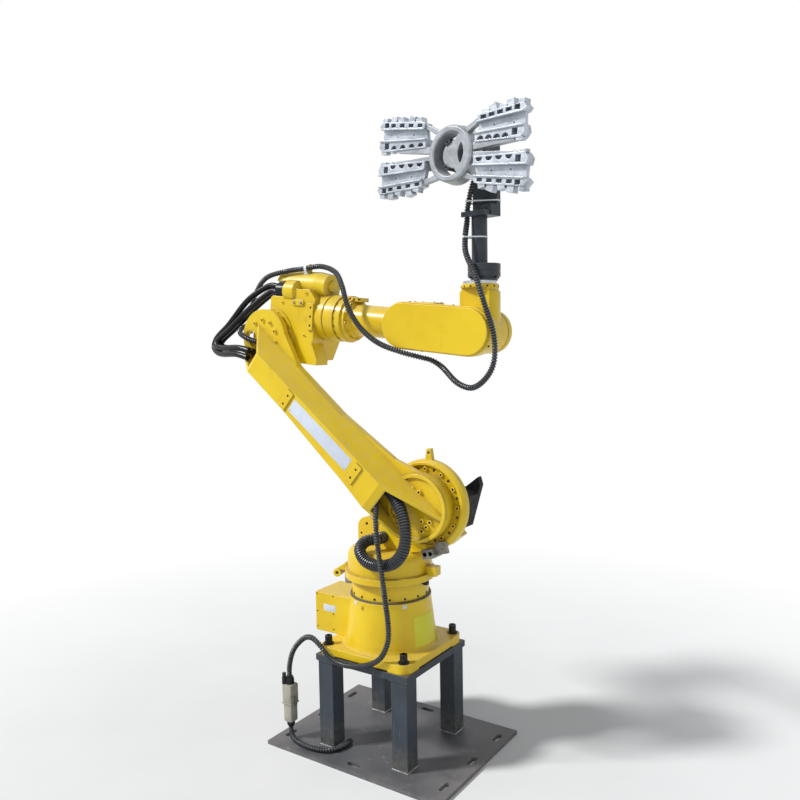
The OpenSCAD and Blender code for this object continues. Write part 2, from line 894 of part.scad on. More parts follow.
module gripper_body() {
    color(dark_grey)
        in_tool()
            union() {
                block([-42, -60, gate_z - 50], [76, 20, gate_z + 50]);
                translate([gate_x, 0, gate_z])
                    y_cyl(58, -gate_y + gate_t + 6, -60);
            }
}

module gripper_jaws() {
    color(dark_grey)
        in_shot()
            for (a = [0, 120, 240])
                rotate([0, a, 0])
                    difference() {
                        block([biscuit_r, 16, -13], [biscuit_r + 13, gate_t + 6, 13]);
                        translate([biscuit_r + 6, 0, 0])
                            y_cyl(4, 15, 22);
                    }
}

module gate_ring() {
    color(alu)
        in_shot()
            union() {
                y_turn()
                    polygon([
                        [gate_ri, 4], [gate_ri + 4, 0], [gate_r - 6, 0], [gate_r, 6], [gate_r + 5, gate_t], [gate_ri - 4, gate_t]
                    ]);
                difference() {
                    y_cyl(biscuit_r + 4, 22, gate_t);
                    for (a = [0, 120, 240])
                        rotate([0, a, 0])
                            block([biscuit_r, 0, -60], [biscuit_r + 60, gate_t + 1, 60]);
                }
                slab(24, 2)
                    difference() {
                        intersection() {
                            circle(gate_ri + 2);
                            polygon([[-10, 0], [52, 88], [120, 88], [120, -88], [52, -88]]);
                        }
                        intersection() {
                            translate([4, 0])
                                circle(58);
                            translate([88, 0])
                                circle(52);
                        }
                    }
                for (sx = [0, 1])
                    mirror([sx, 0, 0])
                        slab(38, 10)
                            union() {
                                polygon([
                                    [gate_r - 8, 6], [wing_x0 + runner_l, wing_up - 7], [wing_x0 + runner_l, wing_up],
                                    [wing_x0, wing_up], [gate_r - 12, wing_up]
                                ]);
                                polygon([
                                    [gate_r - 8, 0], [wing_x0 + runner_l, 7 - wing_low], [wing_x0 + runner_l, -wing_low],
                                    [wing_x0, -wing_low], [gate_r - 12, -wing_low - 8]
                                ]);
                            }
                for (a = [[-1, 1], [-1, -1], [1, 1], [1, -1]])
                    mirror([a[0] < 0 ? 1 : 0, 0, 0])
                        mirror([0, 0, a[1] < 0 ? 1 : 0])
                            slab(34, 12)
                                polygon([
                                    [58, 62], [wing_x0 + arm_reach(a), arm_rise(a) + 66],
                                    [wing_x0 + arm_reach(a), arm_rise(a) + 82], [48, 78]
                                ]);
            }
}

// One wing of the cast shot, towards +X and +Z
module wing(sx, sz, l, off) {
    pitch = (l - 100) / 3;
    color(alu)
        in_shot()
            mirror([sx < 0 ? 1 : 0, 0, 0])
                mirror([0, 0, sz < 0 ? 1 : 0])
                    translate([wing_x0 + off, 0, sz < 0 ? wing_low : wing_up])
                        difference() {
                            union() {
                                slab(wing_t, 6)
                                    polygon([[0, 0], [l - 14, 0], [l, 18], [l - 6, 40], [0, 30]]);
                                slab(wing_t - 12, 18)
                                    polygon([[0, 26], [l - 8, 36], [l - 10, 84], [8, 66]]);
                                slab(wing_t, 6)
                                    polygon([[8, 62], [l - 10, 80], [l + 2, 92], [l - 12, wing_h - 6], [30, 92], [8, 86]]);
                                slab(wing_t - 6, 0)
                                    polygon([[0, 26], [l - 4, 36], [l - 4, 41], [0, 31]]);
                                slab(wing_t - 6, 0)
                                    polygon([[8, 62], [l - 8, 79], [l - 8, 84], [8, 67]]);
                                for (i = [0:3])
                                    translate([22 + i * pitch, 8 + (i % 2) * 3, 84 + i * 5])
                                        rotate([0, [12, -20, 16, -8][i], 0])
                                            block([0, 0, 0], [28, wing_t - 18, 24]);
                                translate([l - 34, 10, 96])
                                    block([0, 0, 0], [24, wing_t - 14, wing_h - 88]);
                                if (l - 36 > runner_l + 20)
                                    translate([max(l - 72, runner_l + 5), 8, -8])
                                        rotate([0, -28, 0])
                                            block([0, 0, 0], [24, 20, 10]);
                                translate([max(l - 36, runner_l + 8), 8, -9])
                                    block([0, 0, 0], [26, 22, 10]);
                            }
                            for (i = [0:3])
                                translate([24 + i * pitch, 0, 5])
                                    intersection() {
                                        y_cyl(14, 2, 24);
                                        block([-14, 0, 0], [14, 30, 14]);
                                    }
                            block([l - 50, 2, 8], [l - 28, 36, 31]);
                            for (i = [0:3])
                                translate([32 + i * pitch, 0, 72 + i * 4])
                                    rotate([0, -4, 0])
                                        block([-12, 2, 0], [12, 24, 13]);
                            block([l - 46, 2, 86], [l - 24, 36, 103]);
                            for (x = [70, 150])
                                translate([x, 0, 50])
                                    y_cyl(3, 10, wing_t + 1);
                        }
}

module shoulder_hose() {
    color(black)
        hose(shoulder_hose_path, fat_r);
}

module conduit_shoulder() {
    color(black)
        hose(conduit_shoulder_path, conduit_r);
}

module conduit_base() {
    color(black)
        hose(conduit_base_path, conduit_r);
}

module conduit_floor() {
    color(black)
        hose(conduit_floor_path, conduit_r);
}

module conduit_elbow() {
    color(black)
        hose(conduit_elbow_path, conduit_r);
}

module conduit_forearm() {
    color(black)
        hose(conduit_forearm_path, conduit_r);
}

module conduit_wrist() {
    color(black)
        hose(conduit_wrist_path, conduit_r);
}

module conduit_tool() {
    color(black)
        hose(conduit_tool_path, conduit_r);
}

module elbow_hose_top() {
    color(black)
        hose(elbow_hose_top_path, elbow_hose_r);
}

module elbow_hose_near() {
    color(black)
        hose(elbow_hose_near_path, elbow_hose_r);
}

module elbow_hose_far() {
    color(black)
        hose(elbow_hose_far_path, elbow_hose_r);
}

module conduit_hood() {
    color(grey)
        translate([hood_x, hood_y, hood_low])
            rotate_extrude()
                polygon([
                    [0, 0], [20, 0], [26, 8], [28, 60], [24, hood_top - hood_low - 34], [15, hood_top - hood_low], [0, hood_top - hood_low]
                ]);
}

base_plate();
leg(1, -1);  // leg_front_right
leg(1, 1);  // leg_front_left
leg(-1, -1);  // leg_rear_right
leg(-1, 1);  // leg_rear_left
head_plate();
robot_base();
connector_box();
turret();
shoulder();
j1_motor_housing();
stop_cylinder();
j2_motor();
valve_block();
valve_plate();
lower_arm();
hose_cuff();
elbow_casting();
hose_port();
elbow_motor();
roll_ring();
forearm_tube();
wrist_housing();
housing_cover();
top_cover();
wrist_barrel();
wrist_end_cap();
faceplate();
tool_flange();
tool_column();
tool_bracket();
gripper_body();
gripper_jaws();
gate_ring();
wing(-1, 1, wing_l - 12, 14);  // wing_upper_left
wing(-1, -1, wing_l - 12, 14);  // wing_lower_left
wing(1, 1, wing_l - 43, 0);  // wing_upper_right
wing(1, -1, wing_l - 22, 0);  // wing_lower_right
shoulder_hose();
conduit_shoulder();
conduit_base();
conduit_floor();
conduit_elbow();
conduit_forearm();
conduit_wrist();
conduit_tool();
elbow_hose_top();
elbow_hose_near();
elbow_hose_far();
conduit_hood();
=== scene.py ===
"""Looks of a six-axis industrial robot arm on a welded steel pedestal.

This script gives every node its finish, sweeps the hoses at full detail and adds the
fasteners, ties and plates. Lengths in the source are millimetres, turned to metres where
meshes are made.
"""

from __future__ import annotations

import json
import logging
import math
import random
from dataclasses import dataclass, field
from enum import Enum
from typing import Callable, Iterable, Sequence

import bmesh
import bpy
from mathutils import Matrix, Vector
from mathutils.geometry import convex_hull_2d

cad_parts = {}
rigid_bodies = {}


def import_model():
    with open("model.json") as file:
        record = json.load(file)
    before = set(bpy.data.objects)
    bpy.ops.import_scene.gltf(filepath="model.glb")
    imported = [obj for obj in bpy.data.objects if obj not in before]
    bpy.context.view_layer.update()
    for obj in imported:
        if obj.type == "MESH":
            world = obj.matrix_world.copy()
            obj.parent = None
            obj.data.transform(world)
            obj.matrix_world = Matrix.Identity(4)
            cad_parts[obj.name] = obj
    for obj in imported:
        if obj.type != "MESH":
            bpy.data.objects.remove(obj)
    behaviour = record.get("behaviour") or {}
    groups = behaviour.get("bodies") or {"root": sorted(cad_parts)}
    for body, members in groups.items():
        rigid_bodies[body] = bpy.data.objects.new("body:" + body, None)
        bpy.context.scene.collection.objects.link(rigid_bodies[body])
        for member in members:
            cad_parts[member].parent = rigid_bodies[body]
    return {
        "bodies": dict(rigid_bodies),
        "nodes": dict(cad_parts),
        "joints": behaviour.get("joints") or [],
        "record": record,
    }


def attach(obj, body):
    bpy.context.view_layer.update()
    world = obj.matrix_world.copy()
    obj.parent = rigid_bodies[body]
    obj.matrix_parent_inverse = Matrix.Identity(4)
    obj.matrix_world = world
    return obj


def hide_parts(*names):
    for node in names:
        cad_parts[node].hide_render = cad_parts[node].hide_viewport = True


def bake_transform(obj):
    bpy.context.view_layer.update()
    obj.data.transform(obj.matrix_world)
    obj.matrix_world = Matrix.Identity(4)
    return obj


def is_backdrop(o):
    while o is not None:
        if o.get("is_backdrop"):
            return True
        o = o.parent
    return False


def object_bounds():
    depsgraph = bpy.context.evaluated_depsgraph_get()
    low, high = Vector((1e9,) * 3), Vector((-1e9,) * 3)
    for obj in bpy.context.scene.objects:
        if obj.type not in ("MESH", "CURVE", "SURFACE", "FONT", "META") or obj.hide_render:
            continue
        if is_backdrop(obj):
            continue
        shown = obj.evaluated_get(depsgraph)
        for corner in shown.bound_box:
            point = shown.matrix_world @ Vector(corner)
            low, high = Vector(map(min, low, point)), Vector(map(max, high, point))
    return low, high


logging.basicConfig(level=logging.INFO, format="%(levelname)s %(message)s")
LOG = logging.getLogger("robot_arm")

MM = 0.001
# Name of the mesh attribute that marks the crests of a hose's ribs, where a highlight is painted
CREST = "crest_highlight"
Pair = tuple[float, float]
Point = tuple[float, float, float]
Draw = Callable[[bmesh.types.BMesh], None]
Socket = bpy.types.NodeSocket
Outputs = bpy.types.NodeOutputs
NEAR: Point = (0.0, -1.0, 0.0)
FAR: Point = (0.0, 1.0, 0.0)
UP: Point = (0.0, 0.0, 1.0)
DOWN: Point = (0.0, 0.0, -1.0)


class Body(str, Enum):
    """The moving bodies that pieces ride on."""

    BASE = "base"
    TURRET = "turret"
    LOWER_ARM = "lower_arm"
    ELBOW = "elbow"
    FOREARM = "forearm"
    WRIST = "wrist"
    TOOL = "tool"


class Slot(str, Enum):
    """The record's material slots."""

    YELLOW = "yellow_paint"
    PEDESTAL = "pedestal_paint"
    BLACK = "black_motor"
    ALUMINIUM = "cast_aluminium"
    TOOL = "tool_steel"
    GREY = "grey_metal"
    HOSE = "hose_rubber"


def turned(degrees: float, axis: str) -> Matrix:
    """A turn about one of the axes through the origin.

    Args:
        degrees: Angle of the turn.
        axis: X, Y or Z.

    Returns:
        The turn's matrix.
    """
    return Matrix.Rotation(math.radians(degrees), 4, axis)


@dataclass(frozen=True)
class Sizes:
    """Main sizes of the machine, in millimetres and degrees."""

    plate_t: float = 15.0
    ped_h: float = 394.0
    head_t: float = 25.0
    leg_w: float = 70.0
    leg_pitch: float = 356.0
    flange_t: float = 36.0
    bolt_pitch: float = 365.0
    j1_z: float = 625.0
    cone_r1: float = 186.0
    cone_r2: float = 166.0
    j2: Point = (222.0, 0.0, 1022.0)
    arm_len: float = 1002.0
    arm_lean: float = 49.5
    arm_near: float = -235.0
    plate_near: float = -135.0
    drum_y0: float = -78.0
    drum_bolt_r: float = 139.0
    fore_dip: float = 6.0
    fore_off: float = 104.0
    fore_len: float = 959.0
    j4_x: float = 318.0
    wrist_len: float = 185.0
    tool_yaw: float = -10.0
    gate_z: float = 426.0

    @property
    def j3(self) -> Point:
        """The third axis.

        Returns:
            Its point at Y = 0.
        """
        lean = math.radians(self.arm_lean)
        return (self.j2[0] - self.arm_len * math.sin(lean), 0.0, self.j2[2] + self.arm_len * math.cos(lean))

    @property
    def j5(self) -> Point:
        """The fifth axis.

        Returns:
            Its point at Y = 0.
        """
        dip = math.radians(self.fore_dip)
        x, _, z = self.j3
        return (
            x + self.fore_len * math.cos(dip) + self.fore_off * math.sin(dip),
            0.0,
            z - self.fore_len * math.sin(dip) + self.fore_off * math.cos(dip),
        )

    def arm_frame(self) -> Matrix:
        """The lower arm's frame: Z runs from the second axis to the third.

        Returns:
            Frame to world matrix, in millimetres.
        """
        return Matrix.Translation(self.j2) @ turned(-self.arm_lean, "Y")

    def forearm_frame(self) -> Matrix:
        """The forearm's frame: X runs along it from the third axis.

        Returns:
            Frame to world matrix, in millimetres.
        """
        return Matrix.Translation(self.j3) @ turned(self.fore_dip, "Y")

    def wrist_frame(self) -> Matrix:
        """The wrist's frame: Z is the tool axis from the fifth axis.

        Returns:
            Frame to world matrix, in millimetres.
        """
        return Matrix.Translation(self.j5)

    def tool_frame(self) -> Matrix:
        """The tool's frame: Z is the tool axis from the faceplate.

        Returns:
            Frame to world matrix, in millimetres.
        """
        lift = Matrix.Translation((0.0, 0.0, self.wrist_len))
        return self.wrist_frame() @ lift @ turned(self.tool_yaw, "Z")


SIZES = Sizes()


# Colour and shader helpers


def linear(hex_colour: str) -> tuple[float, float, float, float]:
    """Turns an sRGB hex colour into linear RGBA.

    Args:
        hex_colour: Six hex digits after a hash sign.

    Returns:
        Linear red, green, blue and an alpha of one.
    """
    digits = hex_colour.lstrip("#")
    shares = [int(digits[i : i + 2], 16) / 255.0 for i in (0, 2, 4)]
    red, green, blue = (c / 12.92 if c <= 0.04045 else ((c + 0.055) / 1.055) ** 2.4 for c in shares)
    return (red, green, blue, 1.0)


def per_mm(size_mm: float) -> float:
    """Pattern scale for object coordinates in metres.

    Args:
        size_mm: Real size of one pattern cell.

    Returns:
        Cells in a metre.
    """
    return 1000.0 / size_mm


class Recipe:
    """Node tree of a material or of the world, with one way of adding nodes."""

    def __init__(self, owner: bpy.types.Material | bpy.types.World) -> None:
        """Empties the owner's tree.

        Args:
            owner: Material or world that the nodes are for.
        """
        owner.use_nodes = True
        self.tree = owner.node_tree
        self.tree.nodes.clear()

    def add(self, kind: str, inputs: dict | None = None, **settings: object) -> Outputs:
        """Adds a node with its settings and links.

        Args:
            kind: Blender's name of the node type, after ShaderNode.
            inputs: Socket name or number to a value or to a socket that feeds it.
            **settings: Attributes of the node.

        Returns:
            The node's outputs.
        """
        made = self.tree.nodes.new("ShaderNode" + kind)
        for key, value in settings.items():
            setattr(made, key, value)
        for key, value in (inputs or {}).items():
            if isinstance(value, bpy.types.NodeSocket):
                self.tree.links.new(value, made.inputs[key])
            else:
                made.inputs[key].default_value = value
        return made.outputs

    def seen_rays(self) -> Socket:
        """Tells rays that show the background from those that light the machine.

        Returns:
            One for rays of the camera, of mirrors and of glass, and zero for the rest.
        """
        path = self.add("LightPath")
        total = path["Is Camera Ray"]
        for name in ("Is Glossy Ray", "Is Transmission Ray"):
            total = self.add("Math", {0: total, 1: path[name]}, operation="MAXIMUM")[0]
        return total


class Shader(Recipe):
    """A material's recipe, with the marks that paint and metal get in use."""

    def __init__(self, name: str) -> None:
        """Makes an empty material.

        Args:
            name: Name of the material.
        """
        self.material = bpy.data.materials.new(name)
        super().__init__(self.material)
        self.coords = self.add("TexCoord")["Object"]
        self.normal = self.add("NewGeometry")["Normal"]
        self.up = self.add("SeparateXYZ", {0: self.normal})["Z"]

    def patches(
        self,
        size_mm: float,
        low: float,
        high: float,
        to_low: float = 0.0,
        to_high: float = 1.0,
        detail: float = 4.0,
        roughness: float = 0.55,
        stretch: Point = (1.0, 1.0, 1.0),
    ) -> Socket:
        """Uneven patches of a real size, with soft or hard borders.

        Args:
            size_mm: Size of one patch.
            low: Level of the pattern that becomes to_low.
            high: Level of the pattern that becomes to_high.
            to_low: Result between the patches.
            to_high: Result inside them.
            detail: Octaves of finer unevenness.
            roughness: Strength of the finer unevenness.
            stretch: Scale of the coordinates along each axis.

        Returns:
            The result's socket.
        """
        where = self.add("Mapping", {"Vector": self.coords, "Scale": stretch})[0]
        lumps = {"Vector": where, "Scale": per_mm(size_mm), "Detail": detail, "Roughness": roughness}
        value = self.add("TexNoise", lumps)[0]
        return self.add("MapRange", {0: value, 1: low, 2: high, 3: to_low, 4: to_high}, clamp=True)[0]

    def grain(
        self, size_mm: float, detail: float, depth_mm: float, strength: float, after: Socket | None = None
    ) -> Socket:
        """A fine unevenness of the surface.

        Args:
            size_mm: Size of one grain.
            detail: Octaves of finer grain.
            depth_mm: Depth between its low and high ends.
            strength: Share of it that shows.
            after: Normal that it is laid over.

        Returns:
            The uneven normal's socket.
        """
        lumps = {"Vector": self.coords, "Scale": per_mm(size_mm), "Detail": detail, "Roughness": 0.55}
        inputs = {"Height": self.add("TexNoise", lumps)[0], "Distance": depth_mm * MM, "Strength": strength}
        if after is not None:
            inputs["Normal"] = after
        return self.add("Bump", inputs)[0]

    def coat(self, base: object, colour: str, *shares: object) -> Socket:
        """Lays a colour over another.

        Args:
            base: Colour or socket below.
            colour: Colour on top, as sRGB hex.
            *shares: Values or sockets whose product is the share that the top covers.

        Returns:
            The colour's socket.
        """
        share = shares[0]
        for other in shares[1:]:
            share = self.add("Math", {0: share, 1: other}, operation="MULTIPLY")[0]
        return self.add("Mix", {0: share, 6: base, 7: linear(colour)}, data_type="RGBA")[2]

    def dust(self, tilt: float, most: float, patches: Socket) -> Socket:
        """Dust that settles on faces that look up.

        Args:
            tilt: Upward share of the normal at which it starts.
            most: Share that it covers on a level face.
            patches: Pattern that thins it.

        Returns:
            The covered share's socket.
        """
        level = self.add("MapRange", {0: self.up, 1: tilt, 2: 0.95, 3: 0.0, 4: most}, clamp=True)[0]
        return self.add("Math", {0: level, 1: patches}, operation="MULTIPLY")[0]

    def uneven(self, level: Socket, film: Socket, more: float) -> Socket:
        """Roughness that a film of dust adds to.

        Args:
            level: Roughness of the clean surface.
            film: Share that the film covers.
            more: Roughness that a full film adds.

        Returns:
            The roughness' socket.
        """
        added = self.add("Math", {0: film, 1: more}, operation="MULTIPLY")[0]
        return self.add("Math", {0: level, 1: added}, operation="ADD")[0]

    def crevice(self, reach_mm: float) -> Socket:
        """Share of a point that lies in a corner or pocket.

        Args:
            reach_mm: Distance within which walls count.

        Returns:
            Zero in the open and one deep inside.
        """
        open_sky = self.add("AmbientOcclusion", {"Distance": reach_mm * MM}, samples=6, only_local=True)["AO"]
        return self.add("MapRange", {0: open_sky, 1: 0.92, 2: 0.3}, clamp=True)[0]

    def edges(self, rounded: Socket, corners: Socket) -> Socket:
        """Share of a point that lies on an outer edge.

        Args:
            rounded: Normals of the rounded edges.
            corners: Share that lies in corners, which the edge mark leaves out.

        Returns:
            One on an outer edge and zero on the faces.
        """
        same = self.add("VectorMath", {0: rounded, 1: self.normal}, operation="DOT_PRODUCT")["Value"]
        turned = self.add("MapRange", {0: same, 1: 0.985, 2: 0.86}, clamp=True)[0]
        clear = self.add("MapRange", {0: corners, 1: 0.25, 2: 0.0}, clamp=True)[0]
        return self.add("Math", {0: turned, 1: clear}, operation="MULTIPLY")[0]

    def surface(self, inputs: dict) -> bpy.types.Material:
        """Closes the material with a principled surface.

        Args:
            inputs: Its sockets' values and links.

        Returns:
            The finished material.
        """
        self.add("OutputMaterial", {"Surface": self.add("BsdfPrincipled", inputs)[0]})
        return self.material


@dataclass(frozen=True)
class GlossPaint:
    """Two-pack gloss paint on castings: orange peel, handling smears, dust on upward faces."""

    name: str
    colour: str
    shade: str
    smear: str = "#93781a"
    edge_highlight: str = "#f6ea9c"
    corner_shade_and_grime: str = "#6d5410"
    dust: str = "#b9b29a"
    primer: str = "#6f6a5c"
    dusty: float = 0.35
    roughness: float = 0.34

    def make(self) -> bpy.types.Material:
        """Builds the paint.

        Returns:
            The material.
        """
        s = Shader(self.name)
        soft, corners = s.add("Bevel", {"Radius": 4.0 * MM}, samples=6)[0], s.crevice(36.0)
        # Broad drifts of tone, as hand-sprayed paint has over a casting
        base = s.coat(linear(self.shade), self.colour, s.patches(260.0, 0.36, 0.66, detail=3.0))
        # Brownish smears where hands and oil have been, drawn out downwards
        drawn = {"detail": 5.0, "roughness": 0.6, "stretch": (1.0, 1.0, 0.35)}
        base = s.coat(base, self.smear, s.patches(55.0, 0.6, 0.8, 0.0, 0.26, **drawn))
        # A painted highlight in pale yellow on outer edges, where the paint also lies thin, and a painted
        # shade of dark brown in corners, with some oily grime
        base = s.coat(base, self.edge_highlight, s.edges(soft, corners), 0.5)
        base = s.coat(base, self.corner_shade_and_grime, corners, s.patches(20.0, 0.3, 0.6, 0.35, 0.75, detail=5.0))
        # Grey dust settles on faces that look up
        settled = s.dust(0.35, self.dusty, s.patches(24.0, 0.3, 0.68, detail=6.0))
        base = s.coat(base, self.dust, settled)
        # Specks of lost paint down to primer
        base = s.coat(base, self.primer, s.patches(6.0, 0.75, 0.77, 0.0, 0.7, detail=2.0))
        gloss = s.patches(38.0, 0.3, 0.7, self.roughness - 0.08, self.roughness + 0.1)
        return s.surface(
            {
                "Base Color": base,
                "Roughness": s.uneven(gloss, settled, 0.6),
                "Normal": s.grain(2.6, 2.0, 0.05, 0.28, soft),
                "Specular IOR Level": 0.36,
                "Coat Weight": 0.12,
                "Coat Roughness": 0.12,
            }
        )


@dataclass(frozen=True)
class SatinPaint:
    """Satin brush paint on welded steel: scuffs, scratches to bare metal, dust at the foot."""

    name: str
    colour: str
    shade: str
    bare: str
    scuffs: float = 0.5
    dusty: float = 0.5
    dust: str = "#8b8378"
    roughness: float = 0.5
    mirror: float = 0.4

    def make(self) -> bpy.types.Material:
        """Builds the paint.

        Returns:
            The material.
        """
        s = Shader(self.name)
        base = s.coat(linear(self.shade), self.colour, s.patches(120.0, 0.35, 0.65, detail=5.0))
        # Fine upright scratches where loads rubbed past
        upright = {"detail": 3.0, "roughness": 0.6, "stretch": (1.0, 1.0, 0.06)}
        base = s.coat(base, self.bare, s.patches(7.0, 0.62, 0.72, 0.0, self.scuffs, **upright))
        # Arrises rub through to metal
        soft, corners = s.add("Bevel", {"Radius": 2.0 * MM}, samples=6)[0], s.crevice(25.0)
        base = s.coat(base, self.bare, s.edges(soft, corners), 0.55)
        # Dust lies on level faces and clings low down
        height = s.add("SeparateXYZ", {0: s.coords})["Z"]
        low = s.add("MapRange", {0: height, 1: 0.02, 2: 0.14, 3: 0.45, 4: 0.0}, clamp=True)[0]
        level = s.add("MapRange", {0: s.up, 1: 0.4, 2: 0.95, 3: 0.0, 4: self.dusty}, clamp=True)[0]
        most = s.add("Math", {0: low, 1: level}, operation="MAXIMUM")[0]
        thinned = s.patches(32.0, 0.3, 0.62, detail=7.0, roughness=0.65)
        film = s.add("Math", {0: most, 1: thinned}, operation="MULTIPLY")[0]
        base = s.coat(base, self.dust, film)
        satin = s.patches(18.0, 0.3, 0.7, self.roughness - 0.09, self.roughness + 0.09)
        return s.surface(
            {
                "Base Color": base,
                "Roughness": s.uneven(satin, film, 0.35),
                "Normal": s.grain(3.0, 3.0, 0.08, 0.3, soft),
                "Specular IOR Level": self.mirror,
            }
        )


@dataclass(frozen=True)
class DustyPlate:
    """Floor plate of painted steel under a coat of dried cement dust and boot marks."""

    name: str = "painted_steel_floor_plate_dusty"
    colour: str = "#5b5b5e"
    shade: str = "#4b4e53"
    dust: str = "#8b8583"
    splash: str = "#a8a39d"

    def make(self) -> bpy.types.Material:
        """Builds the plate's finish.

        Returns:
            The material.
        """
        s = Shader(self.name)
        steel = s.coat(linear(self.shade), self.colour, s.patches(140.0, 0.35, 0.65, detail=5.0))
        # The dust is thick along the plate's edges and worn away in the middle
        where = s.add("SeparateXYZ", {0: s.coords})
        x, y = (s.add("Math", {0: where[axis]}, operation="ABSOLUTE")[0] for axis in "XY")
        across = s.add("Math", {0: x, 1: y}, operation="MAXIMUM")[0]
        ragged = s.patches(110.0, 0.25, 0.75, -0.1, 0.1, detail=6.0)
        ragged_across = s.add("Math", {0: across, 1: ragged}, operation="ADD")[0]
        rim = s.add("MapRange", {0: ragged_across, 1: 0.3, 2: 0.46, 3: 0.12, 4: 0.8}, clamp=True)[0]
        fine = s.patches(5.0, 0.3, 0.6, 0.55, 1.0, detail=6.0, roughness=0.65)
        film = s.add("Math", {0: rim, 1: fine}, operation="MULTIPLY")[0]
        base = s.coat(steel, self.dust, film)
        # Boot scuffs and pale splashes of cement
        base = s.coat(base, self.splash, s.patches(30.0, 0.6, 0.74, 0.0, 0.5, detail=8.0, roughness=0.65))
        rough = s.add("MapRange", {0: film, 3: 0.5, 4: 0.95}, clamp=True)[0]
        return s.surface({"Base Color": base, "Roughness": rough, "Normal": s.grain(6.0, 6.0, 0.6, 0.4)})


@dataclass(frozen=True)
class CastMetal:
    """Aluminium as it leaves the die: bright skin, flow marks, soot from the die spray, painted shade in
    pockets and a painted highlight on edges.
    """

    name: str = "aluminium_die_cast"
    colour: str = "#cfd6de"
    shade: str = "#9ba3ac"
    soot_and_pocket_shade: str = "#70757b"
    edge_glint: str = "#eef2f6"

    def make(self) -> bpy.types.Material:
        """Builds the metal.

        Returns:
            The material.
        """
        s = Shader(self.name)
        soft, corners = s.add("Bevel", {"Radius": 2.5 * MM}, samples=6)[0], s.crevice(11.0)
        # Streaks where the metal flowed along the die
        flowed = {"detail": 6.0, "roughness": 0.6, "stretch": (0.35, 1.0, 1.0)}
        base = s.coat(linear(self.shade), self.colour, s.patches(34.0, 0.32, 0.68, **flowed))
        # Soot of the die spray drifts over the skin, and pockets get a painted shade in the same grey
        drift = s.patches(40.0, 0.52, 0.74, 0.0, 0.45, detail=6.0, roughness=0.62)
        pocket_shade = s.add("Math", {0: corners, 1: 0.5}, operation="MULTIPLY")[0]
        base = s.coat(base, self.soot_and_pocket_shade, s.add("Math", {0: drift, 1: pocket_shade}, operation="MAXIMUM")[0])
        # A painted highlight in near white on every outer edge
        base = s.coat(base, self.edge_glint, s.edges(soft, corners), 0.5)
        return s.surface(
            {
                "Base Color": base,
                "Metallic": 0.55,
                "Roughness": s.patches(12.0, 0.3, 0.7, 0.32, 0.52, detail=5.0),
                "Normal": s.grain(2.2, 4.0, 0.18, 0.45, soft),
            }
        )


@dataclass(frozen=True)
class Moulded:
    """Black or grey moulded plastic and rubber: faint bloom, dust and handling shine."""

    name: str
    colour: str
    bloom: str
    roughness: float = 0.42
    dusty: float = 0.2
    mirror: float = 0.5
    dust: str = "#8d8a84"

    def make(self) -> bpy.types.Material:
        """Builds the plastic.

        Returns:
            The material.
        """
        s = Shader(self.name)
        # Bloom comes out of the plastic in pale clouds
        base = s.coat(linear(self.colour), self.bloom, s.patches(45.0, 0.4, 0.68, 0.0, 0.55, detail=5.0))
        base = s.coat(base, self.dust, s.dust(0.2, self.dusty, s.patches(14.0, 0.35, 0.65, detail=5.0)))
        return s.surface(
            {
                "Base Color": base,
                "Roughness": s.patches(9.0, 0.3, 0.7, self.roughness - 0.08, self.roughness + 0.12),
                "Normal": s.grain(1.6, 3.0, 0.04, 0.35),
                "Specular IOR Level": self.mirror,
            }
        )


@dataclass(frozen=True)
class Corrugated:
    """Corrugated black nylon conduit: a grey painted highlight on the crests and a painted shade of black in
    the valleys.
    """

    name: str = "corrugated_nylon_conduit_black"
    valley_shade: str = "#06070a"
    crest_highlight: str = "#454a51"
    dust: str = "#84817b"

    def make(self) -> bpy.types.Material:
        """Builds the nylon.

        Returns:
            The material.
        """
        s = Shader(self.name)
        # The hose's own mesh says which part of a rib a point is on; crests get a painted highlight and
        # valleys a painted shade
        crest_highlight = s.add("Attribute", attribute_name=CREST)["Fac"]
        base = s.coat(linear(self.valley_shade), self.crest_highlight, crest_highlight, s.patches(60.0, 0.3, 0.65, 0.6, 1.0))
        base = s.coat(base, self.dust, s.dust(0.3, 0.22, s.patches(14.0, 0.35, 0.65, detail=5.0)))
        return s.surface(
            {
                "Base Color": base,
                "Roughness": s.patches(9.0, 0.3, 0.7, 0.22, 0.4),
                "Normal": s.grain(1.6, 3.0, 0.04, 0.3),
                "Specular IOR Level": 0.45,
            }
        )


@dataclass(frozen=True)
class BareMetal:
    """Turned or plated steel: brushed tone and a little staining."""

    name: str
    colour: str
    stain: str
    roughness: float = 0.38
    metallic: float = 0.85

    def make(self) -> bpy.types.Material:
        """Builds the metal.

        Returns:
            The material.
        """
        s = Shader(self.name)
        # Stains spread in blots over the metal's own tone
        base = s.coat(linear(self.colour), self.stain, s.patches(16.0, 0.45, 0.7, 0.0, 0.7, detail=5.0))
        return s.surface(
            {
                "Base Color": base,
                "Metallic": self.metallic,
                "Roughness": s.patches(5.0, 0.3, 0.7, self.roughness - 0.1, self.roughness + 0.12),
                "Normal": s.grain(1.2, 3.0, 0.03, 0.3),
            }
        )


